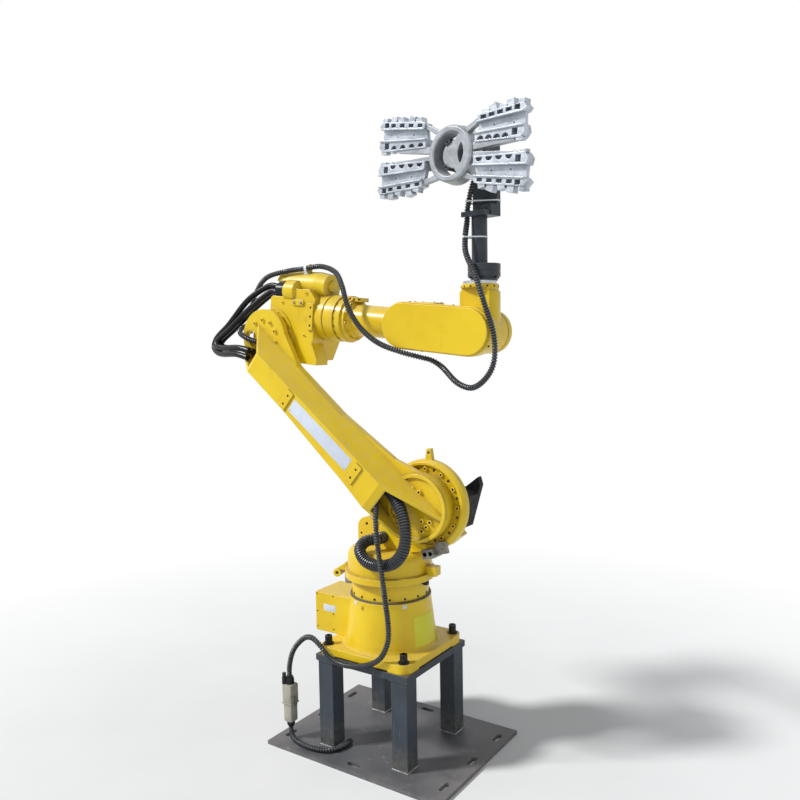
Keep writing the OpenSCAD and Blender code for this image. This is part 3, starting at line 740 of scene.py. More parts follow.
class Finish(Enum):
    """The finishes of the machine, each with the real material that it is."""

    # Warm and glossy, a little uneven in tone
    YELLOW = GlossPaint("gloss_paint_yellow_on_cast_iron", "#eaca1e", "#dfba12")
    # Dull blue-grey with pale scratches
    PEDESTAL = SatinPaint("satin_paint_blue_grey_on_steel_tube", "#363f48", "#2c343c", "#858b90", 0.26, 0.35)
    # Grey and matt, powdery along the edges
    PLATE = DustyPlate()
    # Near black, with hardly a shine
    BLACK = SatinPaint(
        "satin_paint_black_on_motor", "#0c0d0f", "#070809", "#2c2f32", 0.12, 0.06, roughness=0.55, mirror=0.18
    )
    # Pale and bright, streaked along the flow
    ALUMINIUM = CastMetal()
    # Greyer and duller than the wings
    RING = CastMetal("aluminium_die_cast_ring_sooty", "#b3b8bd", "#8e9398")
    # Clean and bright beside the paint
    FACE = BareMetal("aluminium_turned_faceplate", "#c9ccd0", "#8f9499", 0.3)
    # Slate grey with a low sheen
    TOOL = SatinPaint(
        "satin_paint_slate_on_tool_steel", "#323a42", "#272e34", "#868d93", 0.13, 0.16, roughness=0.4
    )
    # Dull grey with oily stains
    GREY = BareMetal("machined_steel_valve_grey", "#8f8c84", "#6a655c", 0.45, 0.6)
    # Black nylon, with painted shade in the valleys and a painted highlight on the crests
    CONDUIT = Corrugated()
    # Black, with a soft light on its flats
    NUT = Moulded("moulded_nylon_nut_black", "#101216", "#1b1e23", 0.35, 0.16, 0.3)
    # Smooth and black, with long narrow lights
    HOSE = Moulded("rubber_hose_black_smooth", "#0d0f13", "#15181d", 0.26, 0.1, 0.26)
    # Pale grey and matt
    HOOD = Moulded("moulded_plastic_hood_grey", "#a8a598", "#8f8c80", 0.5, 0.3)
    # Blackened steel with brown spots
    OXIDE = BareMetal("steel_screw_black_oxide", "#1b1c1e", "#3a3129", 0.45, 0.5)
    # Greyish silver with dull stains
    ZINC = BareMetal("steel_screw_zinc_plated", "#b3b0a2", "#7d7563", 0.4)
    # Clean white against the black conduit
    WHITE = Moulded("nylon_cable_tie_white", "#eceef0", "#dcdee0", 0.45, 0.1)
    # Pale blue-white film, bare of print
    LABEL = Moulded("printed_film_plate_bare_white", "#d2dae8", "#c4cede", 0.35, 0.1)
    # Bright yellow-green film, bare of print
    STICKER = Moulded("vinyl_sticker_bare_yellow_green", "#e0dc3a", "#d6d334", 0.4, 0.1, 0.3)
    # Brown rubber, matt with dust
    SEAL = Moulded("rubber_lip_seal_brown", "#4b4432", "#6a5f45", 0.6, 0.3)
    # Painted shade: near black, standing in for the shadow at the bottom of sockets, ports and pockets
    PAINTED_SHADE = Moulded("shadow_black_recess", "#0b0b0c", "#151517", 0.8, 0.05, 0.1)
    # Silvery, with blots that the heat darkened
    WELD = BareMetal("weld_bead_bare_steel", "#8b8d8d", "#4a4e52", 0.5, 0.5)


Finishes = dict[Finish, tuple[str, ...]]


class Paintbox:
    """Makes each finish once."""

    def __init__(self) -> None:
        """Starts with no material made."""
        self.made: dict[Finish, bpy.types.Material] = {}

    def get(self, finish: Finish) -> bpy.types.Material:
        """Gives a finish's material.

        Args:
            finish: The finish that is wanted.

        Returns:
            The material.
        """
        if finish not in self.made:
            self.made[finish] = finish.value.make()
        return self.made[finish]


# Mesh helpers


def spin_profile(bm: bmesh.types.BMesh, profile: Sequence[Pair], steps: int) -> None:
    """Turns a profile of (radius, height) points about the Z axis into a closed shape.

    Args:
        bm: Mesh that takes the new faces.
        profile: Points from one end to the other, or round a ring and back to the first.
        steps: Sides of the round.
    """
    outline = list(profile)
    if outline[0] != outline[-1]:
        caps = [[(0.0, z)] if r > 0.0 else [] for r, z in (outline[0], outline[-1])]
        outline = [*caps[0], *outline, *caps[1]]
    verts = [bm.verts.new((r, 0.0, z)) for r, z in outline]
    edges = [bm.edges.new(pair) for pair in zip(verts, verts[1:])]
    bmesh.ops.spin(
        bm,
        geom=[*verts, *edges],
        cent=(0, 0, 0),
        axis=(0, 0, 1),
        angle=math.tau,
        steps=steps,
        use_merge=True,
        use_duplicate=False,
    )
    bmesh.ops.remove_doubles(bm, verts=bm.verts[:], dist=1e-4)


def round_edges(bm: bmesh.types.BMesh, edges: Sequence[bmesh.types.BMEdge], radius: float) -> None:
    """Rounds edges off.

    Args:
        bm: Mesh that has the edges.
        edges: The edges.
        radius: Radius of the round.
    """
    bmesh.ops.bevel(
        bm,
        geom=edges,
        offset=radius,
        offset_type="OFFSET",
        segments=2,
        profile=0.5,
        affect="EDGES",
        material=-1,
    )


def edges_of(verts: Iterable[bmesh.types.BMVert]) -> list[bmesh.types.BMEdge]:
    """The edges at some vertices, each once and in a fixed order.

    Args:
        verts: The vertices.

    Returns:
        The edges.
    """
    return list(dict.fromkeys(e for v in verts for e in v.link_edges))


def rounded_box(bm: bmesh.types.BMesh, low: Point, high: Point, edge: float) -> None:
    """A box with rounded edges.

    Args:
        bm: Mesh that takes the box.
        low: Lowest corner.
        high: Highest corner.
        edge: Radius of the edges.
    """
    size = Vector(high) - Vector(low)
    place = Matrix.Translation((Vector(high) + Vector(low)) / 2) @ Matrix.Diagonal((*size, 1.0))
    made = bmesh.ops.create_cube(bm, size=1.0, matrix=place)["verts"]
    round_edges(bm, edges_of(made), edge)


def hexagon(bm: bmesh.types.BMesh, corner_r: float, low: float, high: float) -> list[bmesh.types.BMVert]:
    """An upright six-sided bar.

    Args:
        bm: Mesh that takes the bar.
        corner_r: Radius to its corners.
        low: Height of its bottom.
        high: Height of its top.

    Returns:
        Its vertices.
    """
    middle = Matrix.Translation((0.0, 0.0, (low + high) / 2))
    made = bmesh.ops.create_cone(
        bm, cap_ends=True, segments=6, radius1=corner_r, radius2=corner_r, depth=high - low, matrix=middle
    )
    return made["verts"]


def settle_order(bm: bmesh.types.BMesh) -> None:
    """Puts the faces in the order of their vertices, because spin and extrude leave it to chance.

    Args:
        bm: Mesh to put in order.
    """
    bm.verts.index_update()
    ordered = sorted(bm.faces, key=lambda face: sorted(v.index for v in face.verts))
    for i, face in enumerate(ordered):
        face.index = i
    bm.faces.sort()


class Maker:
    """Turns meshes in millimetres into pieces that ride on a body."""

    def __init__(self, paints: Paintbox) -> None:
        """Keeps the paintbox.

        Args:
            paints: Where finishes come from.
        """
        self.paints = paints
        self.made: list[bpy.types.Object] = []

    def piece(
        self,
        name: str,
        bm: bmesh.types.BMesh,
        finish: Finish,
        body: Body | None,
        slot: Slot,
        frame: Matrix | None = None,
        smooth: float = 40.0,
    ) -> bpy.types.Object:
        """Makes an object of a mesh.

        Args:
            name: Name of the piece.
            bm: Its mesh, in millimetres. It is freed.
            finish: Its finish.
            body: Body that it rides on, or None for a piece that is not attached here.
            slot: Material slot of the record. Not used.
            frame: Frame that the mesh is drawn in.
            smooth: Edges flatter than this many degrees are shaded smooth.

        Returns:
            The object, at the origin and unturned.
        """
        bmesh.ops.recalc_face_normals(bm, faces=bm.faces[:])
        bm.transform(Matrix.Diagonal((MM, MM, MM, 1.0)) @ (frame or Matrix.Identity(4)))
        for edge in bm.edges:
            edge.smooth = len(edge.link_faces) == 2 and edge.calc_face_angle(0.0) < math.radians(smooth)
        for face in bm.faces:
            face.smooth = True
        settle_order(bm)
        mesh = bpy.data.meshes.new(name)
        bm.to_mesh(mesh)
        bm.free()
        mesh.materials.append(self.paints.get(finish))
        made = bpy.data.objects.new(name, mesh)
        bpy.context.scene.collection.objects.link(made)
        if body is not None:
            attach(made, body.value)
        self.made.append(made)
        return made

    def many(
        self, name: str, places: Iterable[Matrix], draw: Draw, finish: Finish, body: Body, slot: Slot
    ) -> bpy.types.Object:
        """One piece of many like shapes.

        Args:
            name: Name of the piece.
            places: Frame of each shape, in millimetres.
            draw: Draws one shape at the origin.
            finish: Its finish.
            body: Body that it rides on.
            slot: Material slot of the record.

        Returns:
            The object.
        """
        one = bmesh.new()
        draw(one)
        bmesh.ops.recalc_face_normals(one, faces=one.faces[:])
        pattern = bpy.data.meshes.new(name + "_pattern")
        one.to_mesh(pattern)
        one.free()
        total = bmesh.new()
        for place in places:
            before = len(total.verts)
            total.from_mesh(pattern)
            total.verts.ensure_lookup_table()
            bmesh.ops.transform(total, matrix=place, verts=total.verts[before:])
        bpy.data.meshes.remove(pattern)
        return self.piece(name, total, finish, body, slot)


def facing(origin: Point, outwards: Point) -> Matrix:
    """Frame with Z along a direction.

    Args:
        origin: Its origin.
        outwards: Direction of its Z axis.

    Returns:
        The frame's matrix.
    """
    return Matrix.Translation(origin) @ Vector(outwards).to_track_quat("Z", "Y").to_matrix().to_4x4()


def socket_screw(d: float, h: float) -> Draw:
    """Head of a socket screw, seated 1 mm in its face.

    Args:
        d: Diameter of the head.
        h: Height of the head.

    Returns:
        A function that draws it along +Z.
    """
    r, socket, chamfer = d / 2, d * 0.27, d * 0.08
    rim = [(r, -1.0), (r, h - chamfer), (r - chamfer, h), (socket, h)]

    def draw(bm: bmesh.types.BMesh) -> None:
        """Draws the head."""
        spin_profile(bm, [*rim, (socket * 0.96, h * 0.45), (0.0, h * 0.4)], steps=20)

    return draw


def hex_screw(af: float, h: float, washer: float) -> Draw:
    """Hexagon head on a washer.

    Args:
        af: Width across the flats.
        h: Height of the head over the washer.
        washer: Diameter of the washer.

    Returns:
        A function that draws it along +Z.
    """
    r, t = washer / 2, 3.0

    def draw(bm: bmesh.types.BMesh) -> None:
        """Draws the washer and the head."""
        spin_profile(bm, [(r, -1.0), (r, t - 0.8), (r - 0.6, t), (af * 0.4, t)], steps=28)
        made = hexagon(bm, af / math.sqrt(3.0), t, t + h)
        top = [e for e in edges_of(made) if all(v.co.z > t + h * 0.9 for v in e.verts)]
        round_edges(bm, top, af * 0.06)

    return draw


def ring_of(centre: Point, axis: Point, radius: float, count: int, start: float = 0.0) -> list[Matrix]:
    """Frames round a circle, each with Z along the axis.

    Args:
        centre: Middle of the circle.
        axis: Its axis.
        radius: Its radius.
        count: Number of frames.
        start: First angle in degrees.

    Returns:
        The frames.
    """
    hub, out = facing(centre, axis), Matrix.Translation((radius, 0.0, 0.0))
    return [hub @ turned(start + i * 360.0 / count, "Z") @ out for i in range(count)]


def round_rim(z: float, radius: float, count: int, start: float) -> list[Matrix]:
    """Frames round an upright axis, each with Z out of it.

    Args:
        z: Height of the circle.
        radius: Its radius.
        count: Number of frames.
        start: First angle in degrees.

    Returns:
        The frames.
    """
    angles = [math.radians(start + i * 360.0 / count) for i in range(count)]
    outs = [Vector((math.cos(a), math.sin(a), 0.0)) for a in angles]
    return [facing((radius * out.x, radius * out.y, z), out) for out in outs]


def square(middle: Point, half: float) -> list[Matrix]:
    """Frames at the corners of an upright square, each with Z to the far side.

    Args:
        middle: Middle of the square.
        half: Half of its side.

    Returns:
        The frames.
    """
    x, y, z = middle
    return [facing((x + half * sx, y, z + half * sz), FAR) for sx in (-1, 1) for sz in (-1, 1)]


# Hoses


def spline(points: Sequence[Point], step_mm: float) -> list[Vector]:
    """A smooth line through points, evenly stepped.

    Args:
        points: Points that it goes through.
        step_mm: Distance between the line's own points.

    Returns:
        The line's points, in millimetres.
    """
    knots = [Vector(p) for p in points]
    parts = 24
    fine: list[Vector] = []
    for i in range(len(knots) - 1):
        p1, p2 = knots[i], knots[i + 1]
        p0 = knots[i - 1] if i else p1 * 2 - p2
        p3 = knots[i + 2] if i + 2 < len(knots) else p2 * 2 - p1
        span = (p2 - p1).length
        m1 = (p2 - p0) * (span / max(span + (p1 - p0).length, 1e-6))
        m2 = (p3 - p1) * (span / max((p3 - p2).length + span, 1e-6))
        for k in range(parts):
            t = k / parts
            h00, h10 = 2 * t**3 - 3 * t**2 + 1, t**3 - 2 * t**2 + t
            h01, h11 = -2 * t**3 + 3 * t**2, t**3 - t**2
            fine.append(p1 * h00 + m1 * h10 + p2 * h01 + m2 * h11)
    fine.append(knots[-1])
    lengths = [0.0]
    for a, b in zip(fine, fine[1:]):
        lengths.append(lengths[-1] + (b - a).length)
    count = max(int(round(lengths[-1] / step_mm)), 6)
    line: list[Vector] = []
    j = 0
    for k in range(count + 1):
        want = lengths[-1] * k / count
        while j < len(lengths) - 2 and lengths[j + 1] < want:
            j += 1
        share = (want - lengths[j]) / max(lengths[j + 1] - lengths[j], 1e-9)
        line.append(fine[j].lerp(fine[j + 1], share))
    return line


def line_length(line: Sequence[Vector]) -> float:
    """Length of a line.

    Args:
        line: Its points.

    Returns:
        The length in the points' unit.
    """
    return sum((b - a).length for a, b in zip(line, line[1:]))


class Skin(Enum):
    """Outside of a hose."""

    RIBBED = "ribbed"
    SMOOTH = "smooth"


class FarEnd(str, Enum):
    """What a hose's far end is in."""

    OBJECT = "object"
    BARE = "bare"


@dataclass
class Hose:
    """A hose along given points, in millimetres, from its exit to its far end."""

    node: str
    points: list[Point]
    diameter: float
    skin: Skin
    finish: Finish
    bodies: tuple[Body, Body | None]
    rib: float = 10.0
    rib_depth: float = 3.2
    sides: int = 16
    step: float = 4.0
    smooth_step: float = 8.0
    far_end: FarEnd = FarEnd.OBJECT
    carries: tuple[str, ...] = ()
    bend: tuple[Point, Point] | None = None

    def profile(self, length: float) -> list[Pair]:
        """Outline of the straight hose.

        Args:
            length: Its length.

        Returns:
            Points of (radius, distance along it).
        """
        r = self.diameter / 2
        if self.skin is Skin.SMOOTH:
            count = max(int(length / self.smooth_step), 8)
            return [(0.0, 0.0), *((r, length * i / count) for i in range(count + 1)), (0.0, length)]
        ribs = max(int(length / self.rib), 4)
        pitch, low = length / ribs, r - self.rib_depth
        rib = ((low, 0.16), (r, 0.34), (r, 0.66), (low, 0.84))
        points = [(radius, (i + share) * pitch) for i in range(ribs) for radius, share in rib]
        return [(0.0, 0.0), (low, 0.0), *points, (low, length), (0.0, length)]

    def sweep(self, bm: bmesh.types.BMesh, line: Sequence[Vector], length: float) -> None:
        """Draws the hose straight, then lays it along its line.

        Args:
            bm: Mesh that takes the hose.
            line: Points of the line.
            length: Length of the line.
        """
        last = len(line) - 1
        tangents = [(line[min(i + 1, last)] - line[max(i - 1, 0)]).normalized() for i in range(last + 1)]
        side = tangents[0].orthogonal().normalized()
        sides = []
        for tangent in tangents:
            side = (side - tangent * side.dot(tangent)).normalized()
            sides.append(side.copy())
        spin_profile(bm, self.profile(length), self.sides)
        # Marks the ribs' crests, where the conduit's finish paints its highlight
        crest_highlight = bm.verts.layers.float.new(CREST)
        for vert in bm.verts:
            vert[crest_highlight] = 1.0 if vert.co.xy.length > self.diameter / 2 - 0.5 else 0.0
            place = min(max(vert.co.z / length, 0.0), 1.0) * last
            i = min(int(place), last - 1)
            share = place - i
            centre = line[i].lerp(line[i + 1], share)
            t = tangents[i].lerp(tangents[i + 1], share).normalized()
            u = sides[i].lerp(sides[i + 1], share)
            u = (u - t * u.dot(t)).normalized()
            vert.co = centre + u * vert.co.x + t.cross(u) * vert.co.y

    def build(self, maker: Maker, nodes: dict[str, bpy.types.Object]) -> None:
        """Args:
            maker: Makes the piece.
            nodes: The CAD nodes and added pieces by name. Not used.
        """
        line = spline(self.points, self.step)
        length = line_length(line)
        bm = bmesh.new()
        self.sweep(bm, line, length)
        made = maker.piece(self.node + "_swept", bm, self.finish, None, Slot.HOSE, smooth=60.0)
        first, second = self.bodies
        if second is None:
            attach(made, first.value)
        else:
            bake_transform(made)
        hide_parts(self.node)
        path = [tuple(p * MM) for p in line[::3]]
        if (len(line) - 1) % 3:
            path.append(tuple(line[-1] * MM))
        LOG.info("%s is %.2f m long", self.node, length * MM)


# Sub-assemblies


@dataclass
class Assembly:
    """A group of CAD nodes with their finishes and the pieces added to them."""

    maker: Maker
    nodes: dict[str, bpy.types.Object]
    body: Body = Body.BASE
    finishes: Finishes = field(default_factory=dict)

    def dress(self) -> None:
        """Gives each CAD node its finish."""
        for finish, names in self.finishes.items():
            for name in names:
                slots = self.nodes[name].data.materials
                slots.clear()
                slots.append(self.maker.paints.get(finish))

    def build(self) -> None:
        """Adds the pieces that the CAD leaves out."""

    def screws(self, name: str, places: Iterable[Matrix], draw: Draw, finish: Finish, slot: Slot) -> None:
        """Adds a set of like screws to this body.

        Args:
            name: Name of the piece.
            places: Frame of each screw.
            draw: Draws one screw along +Z.
            finish: Its finish.
            slot: Material slot of the record.
        """
        self.maker.many(name, places, draw, finish, self.body, slot)

    def oxide_screws(self, name: str, places: Iterable[Matrix], d: float, h: float) -> None:
        """Adds black socket screws.

        Args:
            name: Name of the piece.
            places: Frame of each screw.
            d: Diameter of the heads.
            h: Height of the heads.
        """
        self.screws(name, places, socket_screw(d, h), Finish.OXIDE, Slot.BLACK)

    def cap_screws(
        self,
        name: str,
        places: Sequence[Matrix],
        d: float,
        h: float,
        finish: Finish = Finish.YELLOW,
        slot: Slot = Slot.YELLOW,
    ) -> None:
        """Adds socket screws, with black painted shade at the bottom of their sockets.

        Args:
            name: Name of the piece.
            places: Frame of each screw.
            d: Diameter of the heads.
            h: Height of the heads.
            finish: The heads' finish.
            slot: Material slot of the record.
        """

        def socket_shade(bm: bmesh.types.BMesh) -> None:
            """Draws a black hexagon of painted shade at the bottom of a socket."""
            hexagon(bm, d * 0.262, h * 0.35, h * 0.65)

        self.screws(name, places, socket_screw(d, h), finish, slot)
        # Black painted shade fills the bottom of each socket
        self.screws(name + "_socket_shade", places, socket_shade, Finish.PAINTED_SHADE, Slot.BLACK)

    def tie(
        self, name: str, frame: Matrix, rounds: Sequence[Point], wide: float, lock: int, thick: float = 1.4
    ) -> None:
        """Adds a cable tie pulled tight round a bundle.

        Args:
            name: Name of the piece.
            frame: Frame with Z along the bundle.
            rounds: Centre and radius of each thing in the bundle.
            wide: Width of the strap.
            lock: Number of the round that the tie's lock sits on.
            thick: Thickness of the strap.
        """
        bm = bmesh.new()
        for x, y, r in rounds:
            bmesh.ops.create_circle(bm, segments=32, radius=r, matrix=Matrix.Translation((x, y, -wide / 2)))
        points = [v.co.xy.copy() for v in bm.verts]
        rim = [points[i] for i in convex_hull_2d(points)]
        bm.clear()
        loop = [bm.verts.new((co.x, co.y, -wide / 2)) for co in rim]
        ring = [bm.edges.new((u, v)) for u, v in zip(loop, [*loop[1:], loop[0]])]
        side = bmesh.ops.extrude_edge_only(bm, edges=ring)["geom"]
        far = [v for v in side if isinstance(v, bmesh.types.BMVert)]
        bmesh.ops.translate(bm, verts=far, vec=(0.0, 0.0, wide))
        bmesh.ops.recalc_face_normals(bm, faces=bm.faces[:])
        settle_order(bm)
        bmesh.ops.solidify(bm, geom=bm.faces[:], thickness=-thick)
        x, y, r = rounds[lock]
        rounded_box(bm, (x - 4.0, y - r - 6.5, -wide * 0.8), (x + 4.0, y - r - 0.5, wide * 0.8), 0.7)
        self.maker.piece(name, bm, Finish.WHITE, self.body, Slot.HOSE, frame)

    def plate(self, name: str, frame: Matrix, size: Point) -> None:
        """Adds a thin bare plate that lies on a face.

        Args:
            name: Name of the piece.
            frame: Frame with Z out of the face.
            size: Width, height and thickness.
        """
        bm = bmesh.new()
        w, h, t = size
        rounded_box(bm, (-w / 2, -h / 2, -0.4), (w / 2, h / 2, t), min(0.3, t / 3))
        self.maker.piece(name, bm, Finish.LABEL, self.body, Slot.GREY, frame)


@dataclass
class Pedestal(Assembly):
    """Floor plate, four tube legs and head plate, welded together."""

    finishes: Finishes = field(
        default_factory=lambda: {
            Finish.PLATE: ("base_plate",),
            Finish.PEDESTAL: (
                "leg_front_right",
                "leg_front_left",
                "leg_rear_right",
                "leg_rear_left",
                "head_plate",
            ),
        }
    )
    bead_r: float = 4.2
    bead_past: float = 3.0
    ripples: int = 30
    ripple: float = 0.7
    ripple_step: float = 2.1
    unsteady: float = 0.3

    def bead(self, bm: bmesh.types.BMesh) -> None:
        """Draws one bead along Y, with the ripples that a welder leaves.

        Args:
            bm: Mesh that takes the bead.
        """
        chance = random.Random(4)
        reach = SIZES.leg_w / 2 + self.bead_past
        outline = [(0.0, -reach)]
        for i in range(self.ripples + 1):
            wave = self.ripple * math.sin(i * self.ripple_step)
            r = self.bead_r + wave + chance.uniform(-self.unsteady, self.unsteady)
            outline.append((r, -reach + 2 * reach * i / self.ripples))
        outline.append((0.0, reach))
        spin_profile(bm, outline, steps=10)
        bmesh.ops.rotate(bm, verts=bm.verts[:], cent=(0, 0, 0), matrix=turned(90.0, "X").to_3x3())

    def build(self) -> None:
        """Adds the weld beads at both ends of the legs."""
        half, pitch = SIZES.leg_w / 2, SIZES.leg_pitch / 2
        places: list[Matrix] = []
        for sx in (-1, 1):
            for sy in (-1, 1):
                for z in (SIZES.plate_t, SIZES.ped_h - SIZES.head_t):
                    leg = Matrix.Translation((sx * pitch, sy * pitch, z))
                    side = Matrix.Translation((half, 0.0, 0.0))
                    places += [leg @ turned(turn * 90.0, "Z") @ side for turn in range(4)]
        self.screws("leg_weld_beads", places, self.bead, Finish.WELD, Slot.PEDESTAL)


@dataclass
class RobotBase(Assembly):
    """Cone with its square flange, connector box and the first axis' seal."""

    finishes: Finishes = field(
        default_factory=lambda: {Finish.YELLOW: ("robot_base", "connector_box")}
    )
    cone_low: float = 446.0
    cone_rim: float = 20.0
    seal_in: float = 157.2
    seal_out: float = 165.4
    seal_h: float = 7.0
    washer_r: float = 22.0
    washer_t: float = 5.0
    bolt_r: float = 15.0
    bolt_h: float = 35.6
    bolt_socket_r: float = 8.5
    bolt_socket_z: float = 23.0
    sticker_low: float = 450.0
    sticker_high: float = 567.0
    sticker_from: float = -25.0
    sticker_sweep: float = 42.0
    sticker_off: float = 0.35
    sticker_t: float = 0.6
    tag_z: float = 613.0
    tag_angles: tuple[float, ...] = (-112.0, -36.0)
    tag_size: Point = (17.0, 14.0, 0.5)
    screw_angle: float = -98.0
    screw_z: float = 603.0
    screw_hex: Point = (10.0, 5.0, 15.0)
    box_near: float = -84.0
    box_label_at: Pair = (-256.0, 534.0)
    box_label_size: Point = (63.0, 29.0, 0.5)
    box_columns: tuple[float, ...] = (-322.0, -236.0)
    box_rows: tuple[float, ...] = (588.0, 512.0, 446.0)
    box_head: Pair = (6.0, 1.6)

    def on_cone(self, azimuth: float, z: float, out: float = 0.0) -> Matrix:
        """Frame on the cone's side.

        Args:
            azimuth: Degrees round the first axis.
            z: Height.
            out: Distance off the surface.

        Returns:
            Frame with Z out of the cone and Y up it.
        """
        low, high = self.cone_low, SIZES.j1_z - self.cone_rim
        share = min(max((z - low) / (high - low), 0.0), 1.0)
        r = SIZES.cone_r1 + (SIZES.cone_r2 - SIZES.cone_r1) * share + out
        lean = math.atan2(SIZES.cone_r1 - SIZES.cone_r2, high - low) if z < high else 0.0
        spot = turned(azimuth, "Z") @ Matrix.Translation((r, 0.0, z))
        return spot @ turned(90.0, "Z") @ turned(90.0, "X") @ Matrix.Rotation(-lean, 4, "X")

    def seal(self) -> None:
        """Adds the lip seal of the first axis."""
        z, inner, outer = SIZES.j1_z, self.seal_in, self.seal_out
        foot, top = z - 0.3, z + self.seal_h
        lip = [(inner, foot), (outer, foot), (outer - 0.4, z + 4.0), (outer - 4.4, top), (inner + 0.4, top)]
        bm = bmesh.new()
        spin_profile(bm, [*lip, lip[0]], steps=96)
        self.maker.piece("first_axis_seal", bm, Finish.SEAL, self.body, Slot.HOSE)

    def tall_bolt(self, bm: bmesh.types.BMesh) -> None:
        """Draws a socket bolt on its thick washer.

        Args:
            bm: Mesh that takes the bolt.
        """
        wide, t = self.washer_r, self.washer_t
        spin_profile(bm, [(wide, -0.4), (wide, t - 0.6), (wide - 0.8, t), (self.bolt_r - 3.0, t)], steps=40)
        r, h, socket, bottom = self.bolt_r, self.bolt_h, self.bolt_socket_r, self.bolt_socket_z
        head = [(r, t - 0.2), (r, h - 1.6), (r - 1.4, h), (socket, h)]
        spin_profile(bm, [*head, (socket - 0.3, bottom + 1.0), (0.0, bottom)], steps=36)

    def sticker(self) -> None:
        """Adds the bare sticker that follows the cone."""
        bm = bmesh.new()
        rows, rise = 6, self.sticker_high - self.sticker_low
        heights = [self.sticker_low + rise * i / rows for i in range(rows + 1)]
        spots = [self.on_cone(self.sticker_from, z, self.sticker_off).translation for z in heights]
        side = [bm.verts.new(spot) for spot in spots]
        edges = [bm.edges.new(pair) for pair in zip(side, side[1:])]
        sweep = math.radians(self.sticker_sweep)
        bmesh.ops.spin(bm, geom=[*side, *edges], cent=(0, 0, 0), axis=(0, 0, 1), angle=sweep, steps=16)
        settle_order(bm)
        bmesh.ops.solidify(bm, geom=bm.faces[:], thickness=self.sticker_t)
        self.maker.piece("cone_sticker", bm, Finish.STICKER, self.body, Slot.YELLOW)

    def build(self) -> None:
        """Adds the seal, the anchor bolts, plates and screws."""
        self.seal()
        half, top = SIZES.bolt_pitch / 2, SIZES.ped_h + SIZES.flange_t
        corners = [Matrix.Translation((sx * half, sy * half, top)) for sx in (-1, 1) for sy in (-1, 1)]
        self.screws("flange_anchor_bolts", corners, self.tall_bolt, Finish.OXIDE, Slot.BLACK)
        self.sticker()
        x, z = self.box_label_at
        self.plate("connector_box_label", facing((x, self.box_near, z), NEAR), self.box_label_size)
        for i, azimuth in enumerate(self.tag_angles):
            self.plate(f"cone_tag_{i}", self.on_cone(azimuth, self.tag_z, 0.2), self.tag_size)
        cone = [self.on_cone(self.screw_angle, self.screw_z)]
        self.screws("cone_screw", cone, hex_screw(*self.screw_hex), Finish.YELLOW, Slot.YELLOW)
        box = [facing((x, self.box_near, z), NEAR) for x in self.box_columns for z in self.box_rows]
        self.oxide_screws("connector_box_screws", box, *self.box_head)


@dataclass
class Shoulder(Assembly):
    """Turret, yoke, drum, motor and valves."""

    body: Body = Body.TURRET
    finishes: Finishes = field(
        default_factory=lambda: {
            Finish.YELLOW: ("turret", "shoulder", "j1_motor_housing"),
            Finish.GREY: ("stop_cylinder", "valve_block", "valve_plate"),
            Finish.BLACK: ("j2_motor",),
        }
    )
    drum_sink: float = 10.0
    drum_count: int = 12
    drum_head: Pair = (18.0, 8.0)
    ring_r: float = 156.0
    ring_up: float = 16.0
    ring_count: int = 16
    ring_start: float = 11.0
    ring_head: Pair = (9.0, 2.5)
    stop_at: Point = (167.0, 6.0, 701.0)
    stop_hex: Point = (22.0, 18.0, 26.0)
    valve_from_axis: Point = (26.0, -0.3, -178.0)
    valve_tilt: float = -14.0
    valve_plate_y: float = -14.0
    valve_plate_heads: tuple[Pair, ...] = ((44.0, 24.0), (62.0, 0.0))
    valve_plate_head: Pair = (10.0, 4.0)
    port_y: float = -36.0
    port_z: float = -2.0
    ports_x: tuple[float, ...] = (-9.0, 17.0)
    port_r: float = 8.2
    port_bore: float = 6.4
    port_deep: float = 10.0
    motor_tilt: float = 15.0
    motor_middle: Point = (8.0, 216.0, -36.0)
    motor_half: float = 38.0
    motor_head: Pair = (8.0, 3.0)

    def port(self, bm: bmesh.types.BMesh) -> None:
        """Draws a black liner of painted shade inside a valve's port.

        Args:
            bm: Mesh that takes the port.
        """
        r, bore, deep = self.port_r, self.port_bore, self.port_deep
        wall = [(r, -deep - 2.0), (r, 0.2), (bore, 0.2), (bore - 0.2, 1.0 - deep), (0.0, -deep)]
        spin_profile(bm, wall, steps=24)

    def build(self) -> None:
        """Adds the screws of the drum, the first axis' ring and the valves."""
        x, _, z = SIZES.j2
        drum = ring_of((x, SIZES.drum_y0 + self.drum_sink, z), NEAR, SIZES.drum_bolt_r, self.drum_count)
        self.cap_screws("drum_screws", drum, *self.drum_head)
        ring = round_rim(SIZES.j1_z + self.ring_up, self.ring_r, self.ring_count, self.ring_start)
        self.oxide_screws("turret_ring_screws", ring, *self.ring_head)
        stop = [facing(self.stop_at, DOWN)]
        self.screws("lip_stop_screw", stop, hex_screw(*self.stop_hex), Finish.OXIDE, Slot.BLACK)
        seat = Vector((x, SIZES.drum_y0, z)) + Vector(self.valve_from_axis)
        valves = Matrix.Translation(seat) @ turned(self.valve_tilt, "Y")
        heads = [valves @ facing((px, self.valve_plate_y, pz), NEAR) for px, pz in self.valve_plate_heads]
        self.cap_screws("valve_plate_screws", heads, *self.valve_plate_head, Finish.ZINC, Slot.GREY)
        # Black painted shade lines the ports of the valves
        ports = [valves @ facing((px, self.port_y, self.port_z), NEAR) for px in self.ports_x]
        self.screws("valve_port_shade", ports, self.port, Finish.PAINTED_SHADE, Slot.BLACK)
        motor = Matrix.Translation((x, 0.0, z)) @ turned(self.motor_tilt, "Y")
        back = [motor @ spot for spot in square(self.motor_middle, self.motor_half)]
        self.oxide_screws("shoulder_motor_screws", back, *self.motor_head)


